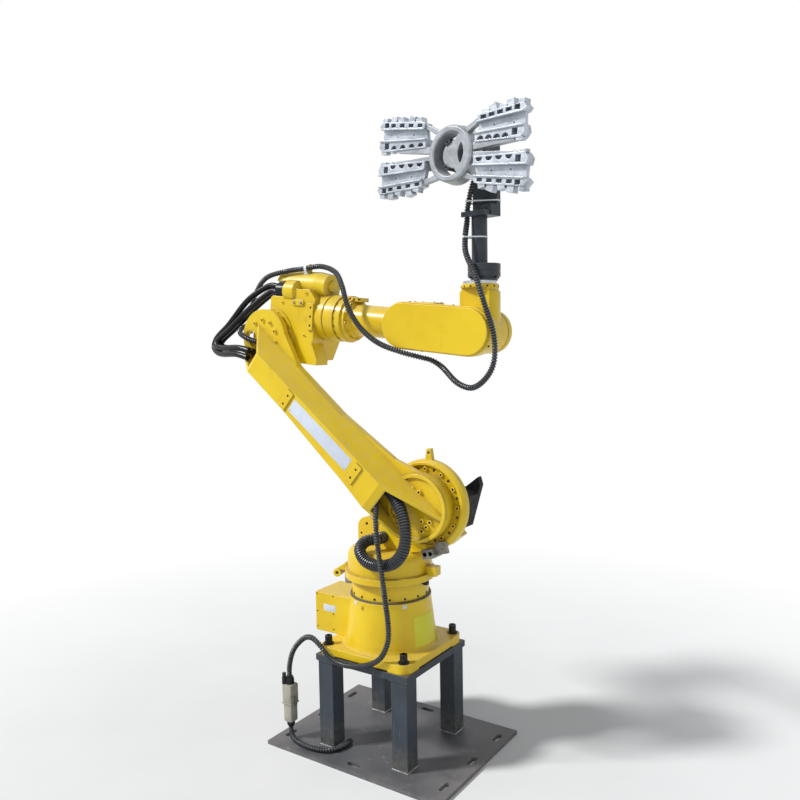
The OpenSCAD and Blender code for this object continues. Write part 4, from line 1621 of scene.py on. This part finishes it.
@dataclass
class LowerArm(Assembly):
    """The slanted hollow arm with its hose cuff."""

    body: Body = Body.LOWER_ARM
    finishes: Finishes = field(
        default_factory=lambda: {Finish.YELLOW: ("lower_arm",), Finish.HOSE: ("hose_cuff",)}
    )
    plate_at: Pair = (-46.5, 466.0)
    plate_turn: float = 2.1
    plate_size: Point = (58.0, 358.0, 0.8)
    rivet_half: Pair = (24.0, 172.0)
    rivet_head: Pair = (4.0, 1.0)
    clusters: dict[Pair, tuple[Pair, ...]] = field(
        default_factory=lambda: {
            (207.0, 1086.0): ((-27.0, 11.0), (0.0, 8.0), (30.0, -3.0), (-4.0, -16.0)),
            (261.0, 960.0): ((-14.0, 14.0), (22.0, 14.0), (6.0, -6.0), (-14.0, -23.0)),
            (120.0, 967.0): ((-8.0, 28.0), (-2.0, -1.0), (10.0, -26.0), (24.0, 4.0)),
        }
    )
    second_head: Pair = (19.0, 11.0)
    tag_at: Pair = (246.0, 1027.0)
    tag_size: Point = (17.0, 26.0, 0.8)
    plug_at: Pair = (273.0, 1037.0)
    plug_hex: Point = (9.0, 4.0, 14.0)
    third_r: float = 72.0
    third_count: int = 10
    third_start: float = 18.0
    third_head: Pair = (15.0, 9.0)

    def on_plate(self, x: float, z: float) -> Matrix:
        """Frame on the near face of the axes' plates, at a place in the world."""
        return facing((x, SIZES.plate_near, z), NEAR)

    def build(self) -> None:
        """Adds the bare name plate and the screws of the second and third axes."""
        x, z = self.plate_at
        face = SIZES.arm_frame() @ facing((x, SIZES.arm_near, z), NEAR) @ turned(self.plate_turn, "Z")
        self.plate("arm_name_plate", face, self.plate_size)
        half_w, half_h = self.rivet_half
        top = self.plate_size[2]
        spots = [(sx * half_w, sy * half_h, top) for sx in (-1, 1) for sy in (-1, 1)]
        rivets = [face @ Matrix.Translation(spot) for spot in spots]
        self.screws("arm_name_plate_rivets", rivets, socket_screw(*self.rivet_head), Finish.ZINC, Slot.GREY)
        heads = [self.on_plate(x + dx, z + dz) for (x, z), group in self.clusters.items() for dx, dz in group]
        self.cap_screws("second_axis_screws", heads, *self.second_head)
        self.plate("second_axis_tag", self.on_plate(*self.tag_at), self.tag_size)
        plug = [self.on_plate(*self.plug_at)]
        self.screws("second_axis_plug", plug, hex_screw(*self.plug_hex), Finish.YELLOW, Slot.YELLOW)
        x, _, z = SIZES.j3
        centre = (x, SIZES.plate_near, z)
        third = ring_of(centre, NEAR, self.third_r, self.third_count, self.third_start)
        self.cap_screws("third_axis_screws", third, *self.third_head)


@dataclass
class Elbow(Assembly):
    """Elbow casting with its motor, hose port and cable post."""

    body: Body = Body.ELBOW
    finishes: Finishes = field(
        default_factory=lambda: {
            Finish.YELLOW: ("elbow_casting",),
            Finish.HOSE: ("hose_port",),
            Finish.BLACK: ("elbow_motor",),
        }
    )
    ring_r: float = 112.0
    ring_near: float = -97.0
    ring_angles: range = range(-55, 80, 18)
    ring_head: Pair = (13.0, 6.0)
    pad_near: float = -98.0
    pad_z: float = 156.0
    pad_x: tuple[float, ...] = (128.0, 166.0)
    pad_hex: Point = (8.0, 3.0, 12.0)
    side_near: float = -92.0
    side_heads: tuple[Pair, ...] = ((62.0, 151.0), (190.0, 196.0), (190.0, 24.0))
    side_head: Pair = (11.0, 5.0)
    tie_at: Point = (-372.0, -42.6, 1955.6)
    tie_along: Point = (160.0, 24.0, 10.0)
    tie_rounds: tuple[Point, ...] = ((0.0, 0.0, 11.4), (0.0, -9.0, 9.0))
    tie_wide: float = 11.0
    motor_middle: Point = (92.0, 202.0, 106.0)
    motor_half: float = 56.0
    motor_head: Pair = (9.0, 4.0)

    def build(self) -> None:
        """Adds the screws and plugs of the casting's sides and the post's tie."""
        frame, r = SIZES.forearm_frame(), self.ring_r
        angles = [math.radians(a) for a in self.ring_angles]
        half = [frame @ facing((r * math.cos(a), self.ring_near, r * math.sin(a)), NEAR) for a in angles]
        self.cap_screws("elbow_ring_screws", half, *self.ring_head)
        pad = [frame @ facing((x, self.pad_near, self.pad_z), NEAR) for x in self.pad_x]
        self.screws("elbow_pad_plugs", pad, hex_screw(*self.pad_hex), Finish.ZINC, Slot.GREY)
        side = [frame @ facing((x, self.side_near, z), NEAR) for x, z in self.side_heads]
        self.cap_screws("elbow_side_screws", side, *self.side_head)
        post = facing(self.tie_at, self.tie_along)
        self.tie("elbow_post_tie", post, self.tie_rounds, self.tie_wide, lock=1)
        motor = [frame @ spot for spot in square(self.motor_middle, self.motor_half)]
        self.oxide_screws("elbow_motor_screws", motor, *self.motor_head)


@dataclass
class Forearm(Assembly):
    """Roll ring, tube, wrist housing and covers."""

    body: Body = Body.FOREARM
    finishes: Finishes = field(
        default_factory=lambda: {
            Finish.YELLOW: ("roll_ring", "forearm_tube", "wrist_housing", "housing_cover", "top_cover")
        }
    )
    groove_x: float = 19.0
    groove_r: float = 90.0
    pockets: int = 18
    pocket_r: float = 5.2
    flange_x: float = 66.0
    flange_r: float = 79.0
    flange_count: int = 12
    flange_start: float = 8.0
    flange_head: Pair = (12.0, 8.0)
    lid_at: Pair = (725.0, 75.0)
    lid_tilt: float = -2.15
    lid_half: Point = (42.0, 27.0, 18.0)
    lid_head: Pair = (7.0, 3.0)
    edge_near: float = -76.0
    edge_level: float = 90.0
    edge_under: tuple[float, ...] = (760.0,)
    edge_over: tuple[float, ...] = (690.0, 880.0)
    edge_round: tuple[tuple[Pair, Pair], ...] = (
        ((84.6, 30.8), (0.94, 0.342)),
        ((78.0, -45.0), (0.866, -0.5)),
    )
    edge_head: Pair = (9.0, 2.5)

    def pocket_shade(self, bm: bmesh.types.BMesh) -> None:
        """Draws a black disc of painted shade for a screw pocket in the ring's groove.

        Args:
            bm: Mesh that takes the pocket.
        """
        r = self.pocket_r
        spin_profile(bm, [(r, -1.0), (r, 0.5), (r - 1.8, 0.9), (r - 2.2, -0.4), (0.0, -0.6)], steps=16)

    def build(self) -> None:
        """Adds black painted shade in the ring's screw pockets, and the screws of the flange and covers."""
        frame = SIZES.forearm_frame()
        x, up = SIZES.j4_x, SIZES.fore_off
        tube = Matrix.Translation((x + self.groove_x, 0.0, up)) @ turned(90.0, "X") @ turned(90.0, "Y")
        # Black discs of painted shade stand for the screw pockets
        pockets = [frame @ tube @ m for m in round_rim(0.0, self.groove_r, self.pockets, 0.0)]
        self.screws("roll_ring_pocket_shade", pockets, self.pocket_shade, Finish.PAINTED_SHADE, Slot.BLACK)
        centre = (x + self.flange_x, 0.0, up)
        flange = ring_of(centre, (1.0, 0.0, 0.0), self.flange_r, self.flange_count, self.flange_start)
        self.cap_screws("roll_ring_flange_screws", [frame @ m for m in flange], *self.flange_head)
        along, rise = self.lid_at
        lid = frame @ Matrix.Translation((along, 0.0, up + rise)) @ turned(self.lid_tilt, "Y")
        dx, dy, top = self.lid_half
        corners = [lid @ Matrix.Translation((sx * dx, sy * dy, top)) for sx in (-1, 1) for sy in (-1, 1)]
        self.screws("top_cover_screws", corners, socket_screw(*self.lid_head), Finish.ZINC, Slot.GREY)
        level, near = self.edge_level, self.edge_near
        edge = [facing((px, near, up - level), DOWN) for px in self.edge_under]
        edge += [facing((px, near, up + level), UP) for px in self.edge_over]
        for (ahead, rise), (out_x, out_z) in self.edge_round:
            edge.append(facing((SIZES.fore_len + ahead, near, up + rise), (out_x, 0.0, out_z)))
        self.oxide_screws("housing_edge_screws", [frame @ m for m in edge], *self.edge_head)


@dataclass
class Wrist(Assembly):
    """Barrel and neck of the fifth axis."""

    body: Body = Body.WRIST
    finishes: Finishes = field(
        default_factory=lambda: {Finish.YELLOW: ("wrist_barrel", "wrist_end_cap")}
    )
    neck_r: float = 69.0
    neck_down: float = 21.0
    neck_count: int = 14
    neck_start: float = 12.0
    neck_head: Pair = (7.0, 1.6)
    cap_y: float = 104.0
    cap_r: float = 58.0
    cap_count: int = 8
    cap_head: Pair = (9.0, 4.0)

    def build(self) -> None:
        """Adds the screws round the top of the neck and on the end cap."""
        frame = SIZES.wrist_frame()
        height = SIZES.wrist_len - self.neck_down
        neck = round_rim(height, self.neck_r, self.neck_count, self.neck_start)
        self.oxide_screws("neck_screws", [frame @ m for m in neck], *self.neck_head)
        cap = ring_of((0.0, self.cap_y, 0.0), FAR, self.cap_r, self.cap_count)
        self.cap_screws("wrist_cap_screws", [frame @ m for m in cap], *self.cap_head)


@dataclass
class Tool(Assembly):
    """Faceplate, flange, column, bracket, gripper and the cast shot that it holds."""

    body: Body = Body.TOOL
    finishes: Finishes = field(
        default_factory=lambda: {
            Finish.FACE: ("faceplate",),
            Finish.TOOL: ("tool_flange", "tool_column", "tool_bracket", "gripper_body", "gripper_jaws"),
            Finish.RING: ("gate_ring",),
            Finish.ALUMINIUM: ("wing_upper_left", "wing_lower_left", "wing_upper_right", "wing_lower_right"),
        }
    )
    flange_at: Point = (20.0, 0.0, 14.0)
    flange_r: float = 55.0
    flange_count: int = 6
    flange_head: Pair = (8.0, 6.0)
    block_near: float = -60.0
    block_x: tuple[float, ...] = (-32.0, 66.0)
    block_z: tuple[float, ...] = (-40.0, 40.0)
    block_head: Pair = (10.0, 6.0)
    bracket_far: float = 40.0
    bracket_x: tuple[float, ...] = (-28.0, 48.0)
    bracket_z: tuple[float, ...] = (292.0, 340.0, 440.0)
    bracket_head: Pair = (12.0, 7.0)
    strap_wide: float = 5.0
    column_r: float = 29.4
    column_tie_z: float = 2019.0
    column_conduit: Point = (391.0, -46.0, 11.4)
    bracket_tie_z: float = 2148.0
    bracket_conduit: Point = (396.4, -27.0, 11.6)
    bracket_tie_x: tuple[float, ...] = (-46.0, 66.0)
    bracket_tie_y: tuple[float, ...] = (20.0, 40.0)
    strap_corner: float = 0.6

    def build(self) -> None:
        """Adds the ties and screws."""
        frame = SIZES.tool_frame()
        bolts = ring_of(self.flange_at, DOWN, self.flange_r, self.flange_count)
        self.oxide_screws("tool_flange_screws", [frame @ m for m in bolts], *self.flange_head)
        gate = SIZES.gate_z
        block = [facing((x, self.block_near, gate + z), NEAR) for x in self.block_x for z in self.block_z]
        self.oxide_screws("gripper_body_screws", [frame @ m for m in block], *self.block_head)
        back = [facing((x, self.bracket_far, z), FAR) for x in self.bracket_x for z in self.bracket_z]
        self.oxide_screws("bracket_screws", [frame @ m for m in back], *self.bracket_head)
        axis = frame.translation
        column = [(axis.x, axis.y, self.column_r), self.column_conduit]
        low = Matrix.Translation((0.0, 0.0, self.column_tie_z))
        self.tie("column_tie", low, column, self.strap_wide, lock=1)
        posts = [frame @ Vector((x, y, 0.0)) for x in self.bracket_tie_x for y in self.bracket_tie_y]
        bracket = [self.bracket_conduit, *((post.x, post.y, self.strap_corner) for post in posts)]
        high = Matrix.Translation((0.0, 0.0, self.bracket_tie_z))
        self.tie("bracket_tie", high, bracket, self.strap_wide, lock=0)


@dataclass
class Dressing:
    """The hoses and conduits that run along the arm."""

    maker: Maker
    nodes: dict[str, bpy.types.Object]
    hood_at: Pair = (-347.0, -240.0)
    hood_low: float = 81.0
    hood_high: float = 270.0
    foot_half: float = 21.0
    shell_half: float = 24.5
    spare_from_axis: Pair = (-18.5, -14.0)

    def routes(self) -> list[Hose]:
        """The hoses, with their points chosen from the photo.

        Returns:
            The hoses.
        """
        fat = {"diameter": 47.0, "skin": Skin.RIBBED, "finish": Finish.CONDUIT, "rib_depth": 3.8, "sides": 32}
        thin = {"diameter": 22.0, "skin": Skin.RIBBED, "finish": Finish.CONDUIT, "sides": 20}
        sleek = {"diameter": 26.0, "skin": Skin.SMOOTH, "finish": Finish.HOSE, "sides": 24}
        port, up = Vector((-505.1, -58.0, 1870.2)), Vector((0.1045, 0.0, 0.9945))
        lead = Vector((-49.7, 0.0, 5.2))

        def bundle(side: float, high: float, reach: float) -> list[Point]:
            """The first points of a hose in the elbow's port.

            Args:
                side: Offset across the port.
                high: Offset up it.
                reach: Length of the straight start, in leads.

            Returns:
                Two points.
            """
            start = port + up * high + Vector((0.0, side, 0.0))
            return [tuple(start), tuple(start + lead * reach)]

        return [
            Hose(
                "shoulder_hose",
                [
                    (106.0, -171.0, 1092.1), (140.8, -171.0, 1062.4), (186, -188, 1014),
                    (214, -204, 950), (212, -213, 880), (168, -214, 822), (88, -206, 797),
                    (24, -200, 806), (-18, -178, 838), (-20, -138, 862), (10, -96, 866),
                    (10, -54, 866),
                ],
                bodies=(Body.LOWER_ARM, Body.TURRET),
                **fat,
            ),
            Hose(
                "conduit_shoulder",
                [
                    (44, -135.3, 1080), (44, -172, 1080), (77, -196, 1044), (101, -234, 977),
                    (120, -247, 870), (138, -248, 760), (140, -234, 664),
                ],
                bodies=(Body.LOWER_ARM, Body.TURRET),
                **thin,
            ),
            Hose(
                "conduit_base",
                [
                    (140, -234, 663.7), (141.5, -223.5, 592), (138, -222, 514), (106, -233, 446),
                    (38, -241, 408), (-60, -242, 390), (-132, -240, 404), (-186, -238, 444),
                    (-226, -236, 463), (-272, -231, 450), (-326, -235, 392), (-347, -240, 320),
                    (-347, -240, 248),
                ],
                bodies=(Body.TURRET, Body.BASE),
                carries=("shell", "over", "spare", "latch"),
                bend=((140.0, -234.0, 663.7), (140.0, -234.0, 505.0)),
                **thin,
            ),
            Hose(
                "conduit_floor",
                [
                    (-347, -240, 81), (-347, -240, 54), (-330, -250, 31), (-290, -266, 26),
                    (-210, -275, 26), (-142, -254, 26), (-110, -200, 26), (-112, -140, 26),
                ],
                bodies=(Body.BASE, None),
                far_end=FarEnd.BARE,
                carries=("foot", "under"),
                **thin,
            ),
            Hose(
                "conduit_elbow",
                [
                    (-548, -135.3, 1652), (-548, -158, 1652), (-604, -163, 1668), (-652, -157, 1689),
                    (-686, -118, 1711), (-691, -60, 1737), (-706, -40, 1784), (-664, -42, 1870),
                    (-566, -75, 1928), (-461, -56, 1950), (-381, -44, 1955),
                ],
                bodies=(Body.LOWER_ARM, Body.ELBOW),
                **thin,
            ),
            Hose(
                "conduit_forearm",
                [
                    (-380.7, -44, 1955), (-301, -32, 1960), (-206, -56, 1928), (-140, -98, 1866),
                    (-102, -116, 1790), (-40, -127, 1708), (50, -133, 1644), (148, -123, 1607),
                    (215, -80, 1584),
                ],
                bodies=(Body.ELBOW, Body.FOREARM),
                **thin,
            ),
            Hose(
                "conduit_wrist",
                [
                    (215.3, -79.8, 1583.9), (248.5, -58.5, 1572.5), (290, -56, 1549), (376, -90, 1492),
                    (440, -101, 1475), (492, -110, 1499), (531, -115, 1546), (543, -115, 1602),
                    (530, -104, 1680), (491, -95, 1779),
                ],
                bodies=(Body.FOREARM, Body.WRIST),
                **thin,
            ),
            Hose(
                "conduit_tool",
                [
                    (490.9, -95, 1779.3), (452, -86, 1878), (404, -66, 1960), (391, -46, 2020),
                    (387, -24, 2080), (388, -22, 2120), (408, -33, 2180), (424, -40, 2214),
                    (424, -40, 2236.6),
                ],
                bodies=(Body.WRIST, Body.TOOL),
                **thin,
            ),
            Hose(
                "elbow_hose_top",
                [
                    *bundle(0.0, 15.3, 1.35), (-672, -84, 1836), (-772, -112, 1727),
                    (-828, -129, 1672), (-836, -139, 1632), (-778, -161, 1605), (-640, -195, 1602),
                    (-574, -198, 1588),
                ],
                bodies=(Body.ELBOW, Body.LOWER_ARM),
                **sleek,
            ),
            Hose(
                "elbow_hose_near",
                [
                    *bundle(-13.3, -7.7, 0.85), (-643, -104, 1798), (-752, -127, 1708),
                    (-800, -140, 1670), (-812, -147, 1652), (-799, -155, 1636), (-750, -167, 1629),
                    (-634, -190, 1629), (-570, -191, 1616),
                ],
                bodies=(Body.ELBOW, Body.LOWER_ARM),
                **sleek,
            ),
            Hose(
                "elbow_hose_far",
                [
                    *bundle(13.3, -7.7, 0.85), (-643, -77, 1798), (-752, -99, 1708),
                    (-800, -112, 1670), (-812, -119, 1652), (-799, -127, 1636), (-750, -139, 1629),
                    (-634, -162, 1625), (-570, -164, 1612),
                ],
                bodies=(Body.ELBOW, Body.LOWER_ARM),
                **sleek,
            ),
        ]

    def hood(self) -> dict[str, bpy.types.Object]:
        """Adds the connector hood in the conduit, with its latch, nuts and capped spare entry.

        Returns:
            The pieces by name.
        """
        low, high, foot_w, shell_w = self.hood_low, self.hood_high, self.foot_half, self.shell_half
        foot, shell, under, over, spare, latch = (bmesh.new() for _ in range(6))
        rounded_box(foot, (-foot_w, -foot_w, low + 8.0), (foot_w, foot_w, low + 90.0), 6.0)
        rounded_box(shell, (-shell_w, -shell_w, low + 88.0), (shell_w, shell_w, high - 22.0), 7.0)
        lip = shell_w + 1.0
        rounded_box(shell, (-lip, -lip, low + 84.0), (lip, lip, low + 91.0), 2.0)
        lower = [(15.0, 10.0), (17.0, 9.0), (17.0, -2.0), (14.5, -10.0), (11.2, -10.0)]
        spin_profile(under, [(r, low + z) for r, z in lower], steps=12)
        upper = [(16.0, -24.0), (18.0, -23.0), (18.0, -4.0), (14.5, 8.0), (11.2, 8.0)]
        spin_profile(over, [(r, high + z) for r, z in upper], steps=12)
        entry = [(8.0, -24.0), (9.5, -23.0), (9.5, 6.0), (8.0, 8.0), (8.0, 22.0), (6.5, 24.0), (0.0, 24.0)]
        spin_profile(spare, [(r, high + z) for r, z in entry], steps=20)
        bmesh.ops.translate(spare, verts=spare.verts[:], vec=(*self.spare_from_axis, 0.0))
        rounded_box(latch, (24.0, -13.0, low + 76.0), (27.0, 13.0, low + 122.0), 1.0)
        rounded_box(latch, (2.0, -27.5, low + 112.0), (26.5, -23.8, low + 122.0), 1.0)
        rounded_box(latch, (24.5, -8.0, low + 112.0), (33.0, 8.0, low + 116.0), 1.2)
        place = Matrix.Translation((*self.hood_at, 0.0))
        made: dict[str, bpy.types.Object] = {}
        for key, name, bm, finish, slot in (
            ("shell", "conduit_hood_shell", shell, Finish.HOOD, Slot.GREY),
            ("foot", "conduit_hood_foot", foot, Finish.HOOD, Slot.GREY),
            ("over", "conduit_hood_upper_nut", over, Finish.NUT, Slot.HOSE),
            ("under", "conduit_hood_lower_nut", under, Finish.NUT, Slot.HOSE),
            ("spare", "conduit_hood_spare_entry", spare, Finish.NUT, Slot.HOSE),
            ("latch", "conduit_hood_latch", latch, Finish.ZINC, Slot.GREY),
        ):
            made[key] = self.maker.piece(name, bm, finish, Body.BASE, slot, place)
        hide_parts("conduit_hood")
        return made

    def build(self) -> None:
        """Sweeps every hose."""
        carried = {**self.nodes, **self.hood()}
        for hose in self.routes():
            hose.build(self.maker, carried)


@dataclass(frozen=True)
class Studio:
    """Pale floor, soft light and the photo's camera."""

    eye: Point = (1801.85, -2563.08, 1649.86)
    yaw: float = 0.59642
    pitch: float = -0.07627
    roll: float = -0.01676
    lens: float = 35.205
    sensor: float = 36.0
    clip_end: float = 60.0
    sky: str = "#eef3f8"
    sky_strength: float = 0.36
    floor_colours: tuple[str, str] = ("#e9eaea", "#f0f1f1")
    floor_half: float = 25.0
    floor_sink: float = 0.0005
    fade: Pair = (0.9, 3.2)

    def camera(self) -> None:
        """Places the camera at the photo's angle."""
        level = Vector((-math.sin(self.yaw), math.cos(self.yaw), 0.0))
        forward = level * math.cos(self.pitch) + Vector((0.0, 0.0, math.sin(self.pitch)))
        right = Vector((math.cos(self.yaw), math.sin(self.yaw), 0.0))
        up = right.cross(forward)
        side = right * math.cos(self.roll) + up * math.sin(self.roll)
        top = up * math.cos(self.roll) - right * math.sin(self.roll)
        data = bpy.data.cameras.new("photo_camera")
        data.lens = self.lens
        data.sensor_width = self.sensor
        data.clip_end = self.clip_end
        made = bpy.data.objects.new("photo_camera", data)
        turn = Matrix((side, top, -forward)).transposed().to_4x4()
        made.matrix_world = Matrix.Translation(Vector(self.eye) * MM) @ turn
        bpy.context.scene.collection.objects.link(made)
        bpy.context.scene.camera = made

    def light(self) -> None:
        """Adds a soft sun from the camera's left, a fill and the sky."""
        scene = bpy.context.scene
        scene.view_settings.view_transform = "Standard"
        for name, power, size, tilt, bearing in (
            ("sun_key", 2.9, 8.0, 48.0, -46.0),
            ("sun_fill", 0.2, 50.0, 55.0, 40.0),
        ):
            data = bpy.data.lights.new(name, "SUN")
            data.energy = power
            data.angle = math.radians(size)
            made = bpy.data.objects.new(name, data)
            made.rotation_euler = (math.radians(tilt), 0.0, math.radians(bearing))
            scene.collection.objects.link(made)
        world = bpy.data.worlds.new("studio")
        nodes = Recipe(world)
        sky = nodes.add("Background", {"Color": linear(self.sky), "Strength": self.sky_strength})[0]
        white = nodes.add("Background", {"Color": linear("#ffffff"), "Strength": 1.0})[0]
        both = nodes.add("MixShader", {0: nodes.seen_rays(), 1: sky, 2: white})[0]
        nodes.add("OutputWorld", {"Surface": both})
        scene.world = world

    def floor(self) -> None:
        """Lays the pale floor, which fades into the white background away from the machine."""
        s = Shader("studio_floor_pale")
        low, high = self.floor_colours
        tone = s.coat(linear(low), high, s.patches(900.0, 0.3, 0.7, detail=3.0))
        matt = s.add("BsdfDiffuse", {"Color": tone})[0]
        glow = s.add("Emission", {"Color": linear("#ffffff"), "Strength": 1.0})[0]
        away = s.add("VectorMath", {0: s.coords}, operation="LENGTH")["Value"]
        start, end = self.fade
        far = s.add("MapRange", {0: away, 1: start, 2: end}, clamp=True)[0]
        share = s.add("Math", {0: far, 1: s.seen_rays()}, operation="MULTIPLY")[0]
        s.add("OutputMaterial", {"Surface": s.add("MixShader", {0: share, 1: matt, 2: glow})[0]})
        bm = bmesh.new()
        sunk = Matrix.Translation((0.0, 0.0, -self.floor_sink))
        bmesh.ops.create_grid(bm, x_segments=1, y_segments=1, size=self.floor_half, matrix=sunk)
        mesh = bpy.data.meshes.new("studio_floor")
        bm.to_mesh(mesh)
        bm.free()
        mesh.materials.append(s.material)
        made = bpy.data.objects.new("studio_floor", mesh)
        bpy.context.scene.collection.objects.link(made)
        made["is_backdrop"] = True


def plain(box: Iterable) -> list:
    """Turns a box of vectors into plain lists.

    Args:
        box: Nested sequence of numbers.

    Returns:
        Nested lists of floats.
    """
    return [plain(v) if hasattr(v, "__len__") else float(v) for v in box]


def main() -> None:
    """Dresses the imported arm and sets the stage."""
    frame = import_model()
    nodes = frame["nodes"]
    before = plain(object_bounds())
    maker = Maker(Paintbox())
    Dressing(maker, nodes).build()
    studio = Studio()
    studio.camera()
    studio.light()
    studio.floor()
    for kind in (Pedestal, RobotBase, Shoulder, LowerArm, Elbow, Forearm, Wrist, Tool):
        assembly = kind(maker, nodes)
        assembly.dress()
        assembly.build()
    for made in maker.made:
        LOG.info("%s has %d faces", made.name, len(made.data.polygons))
    {"cad": before, "visual": plain(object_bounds())}


if __name__ == "__main__":
    main()
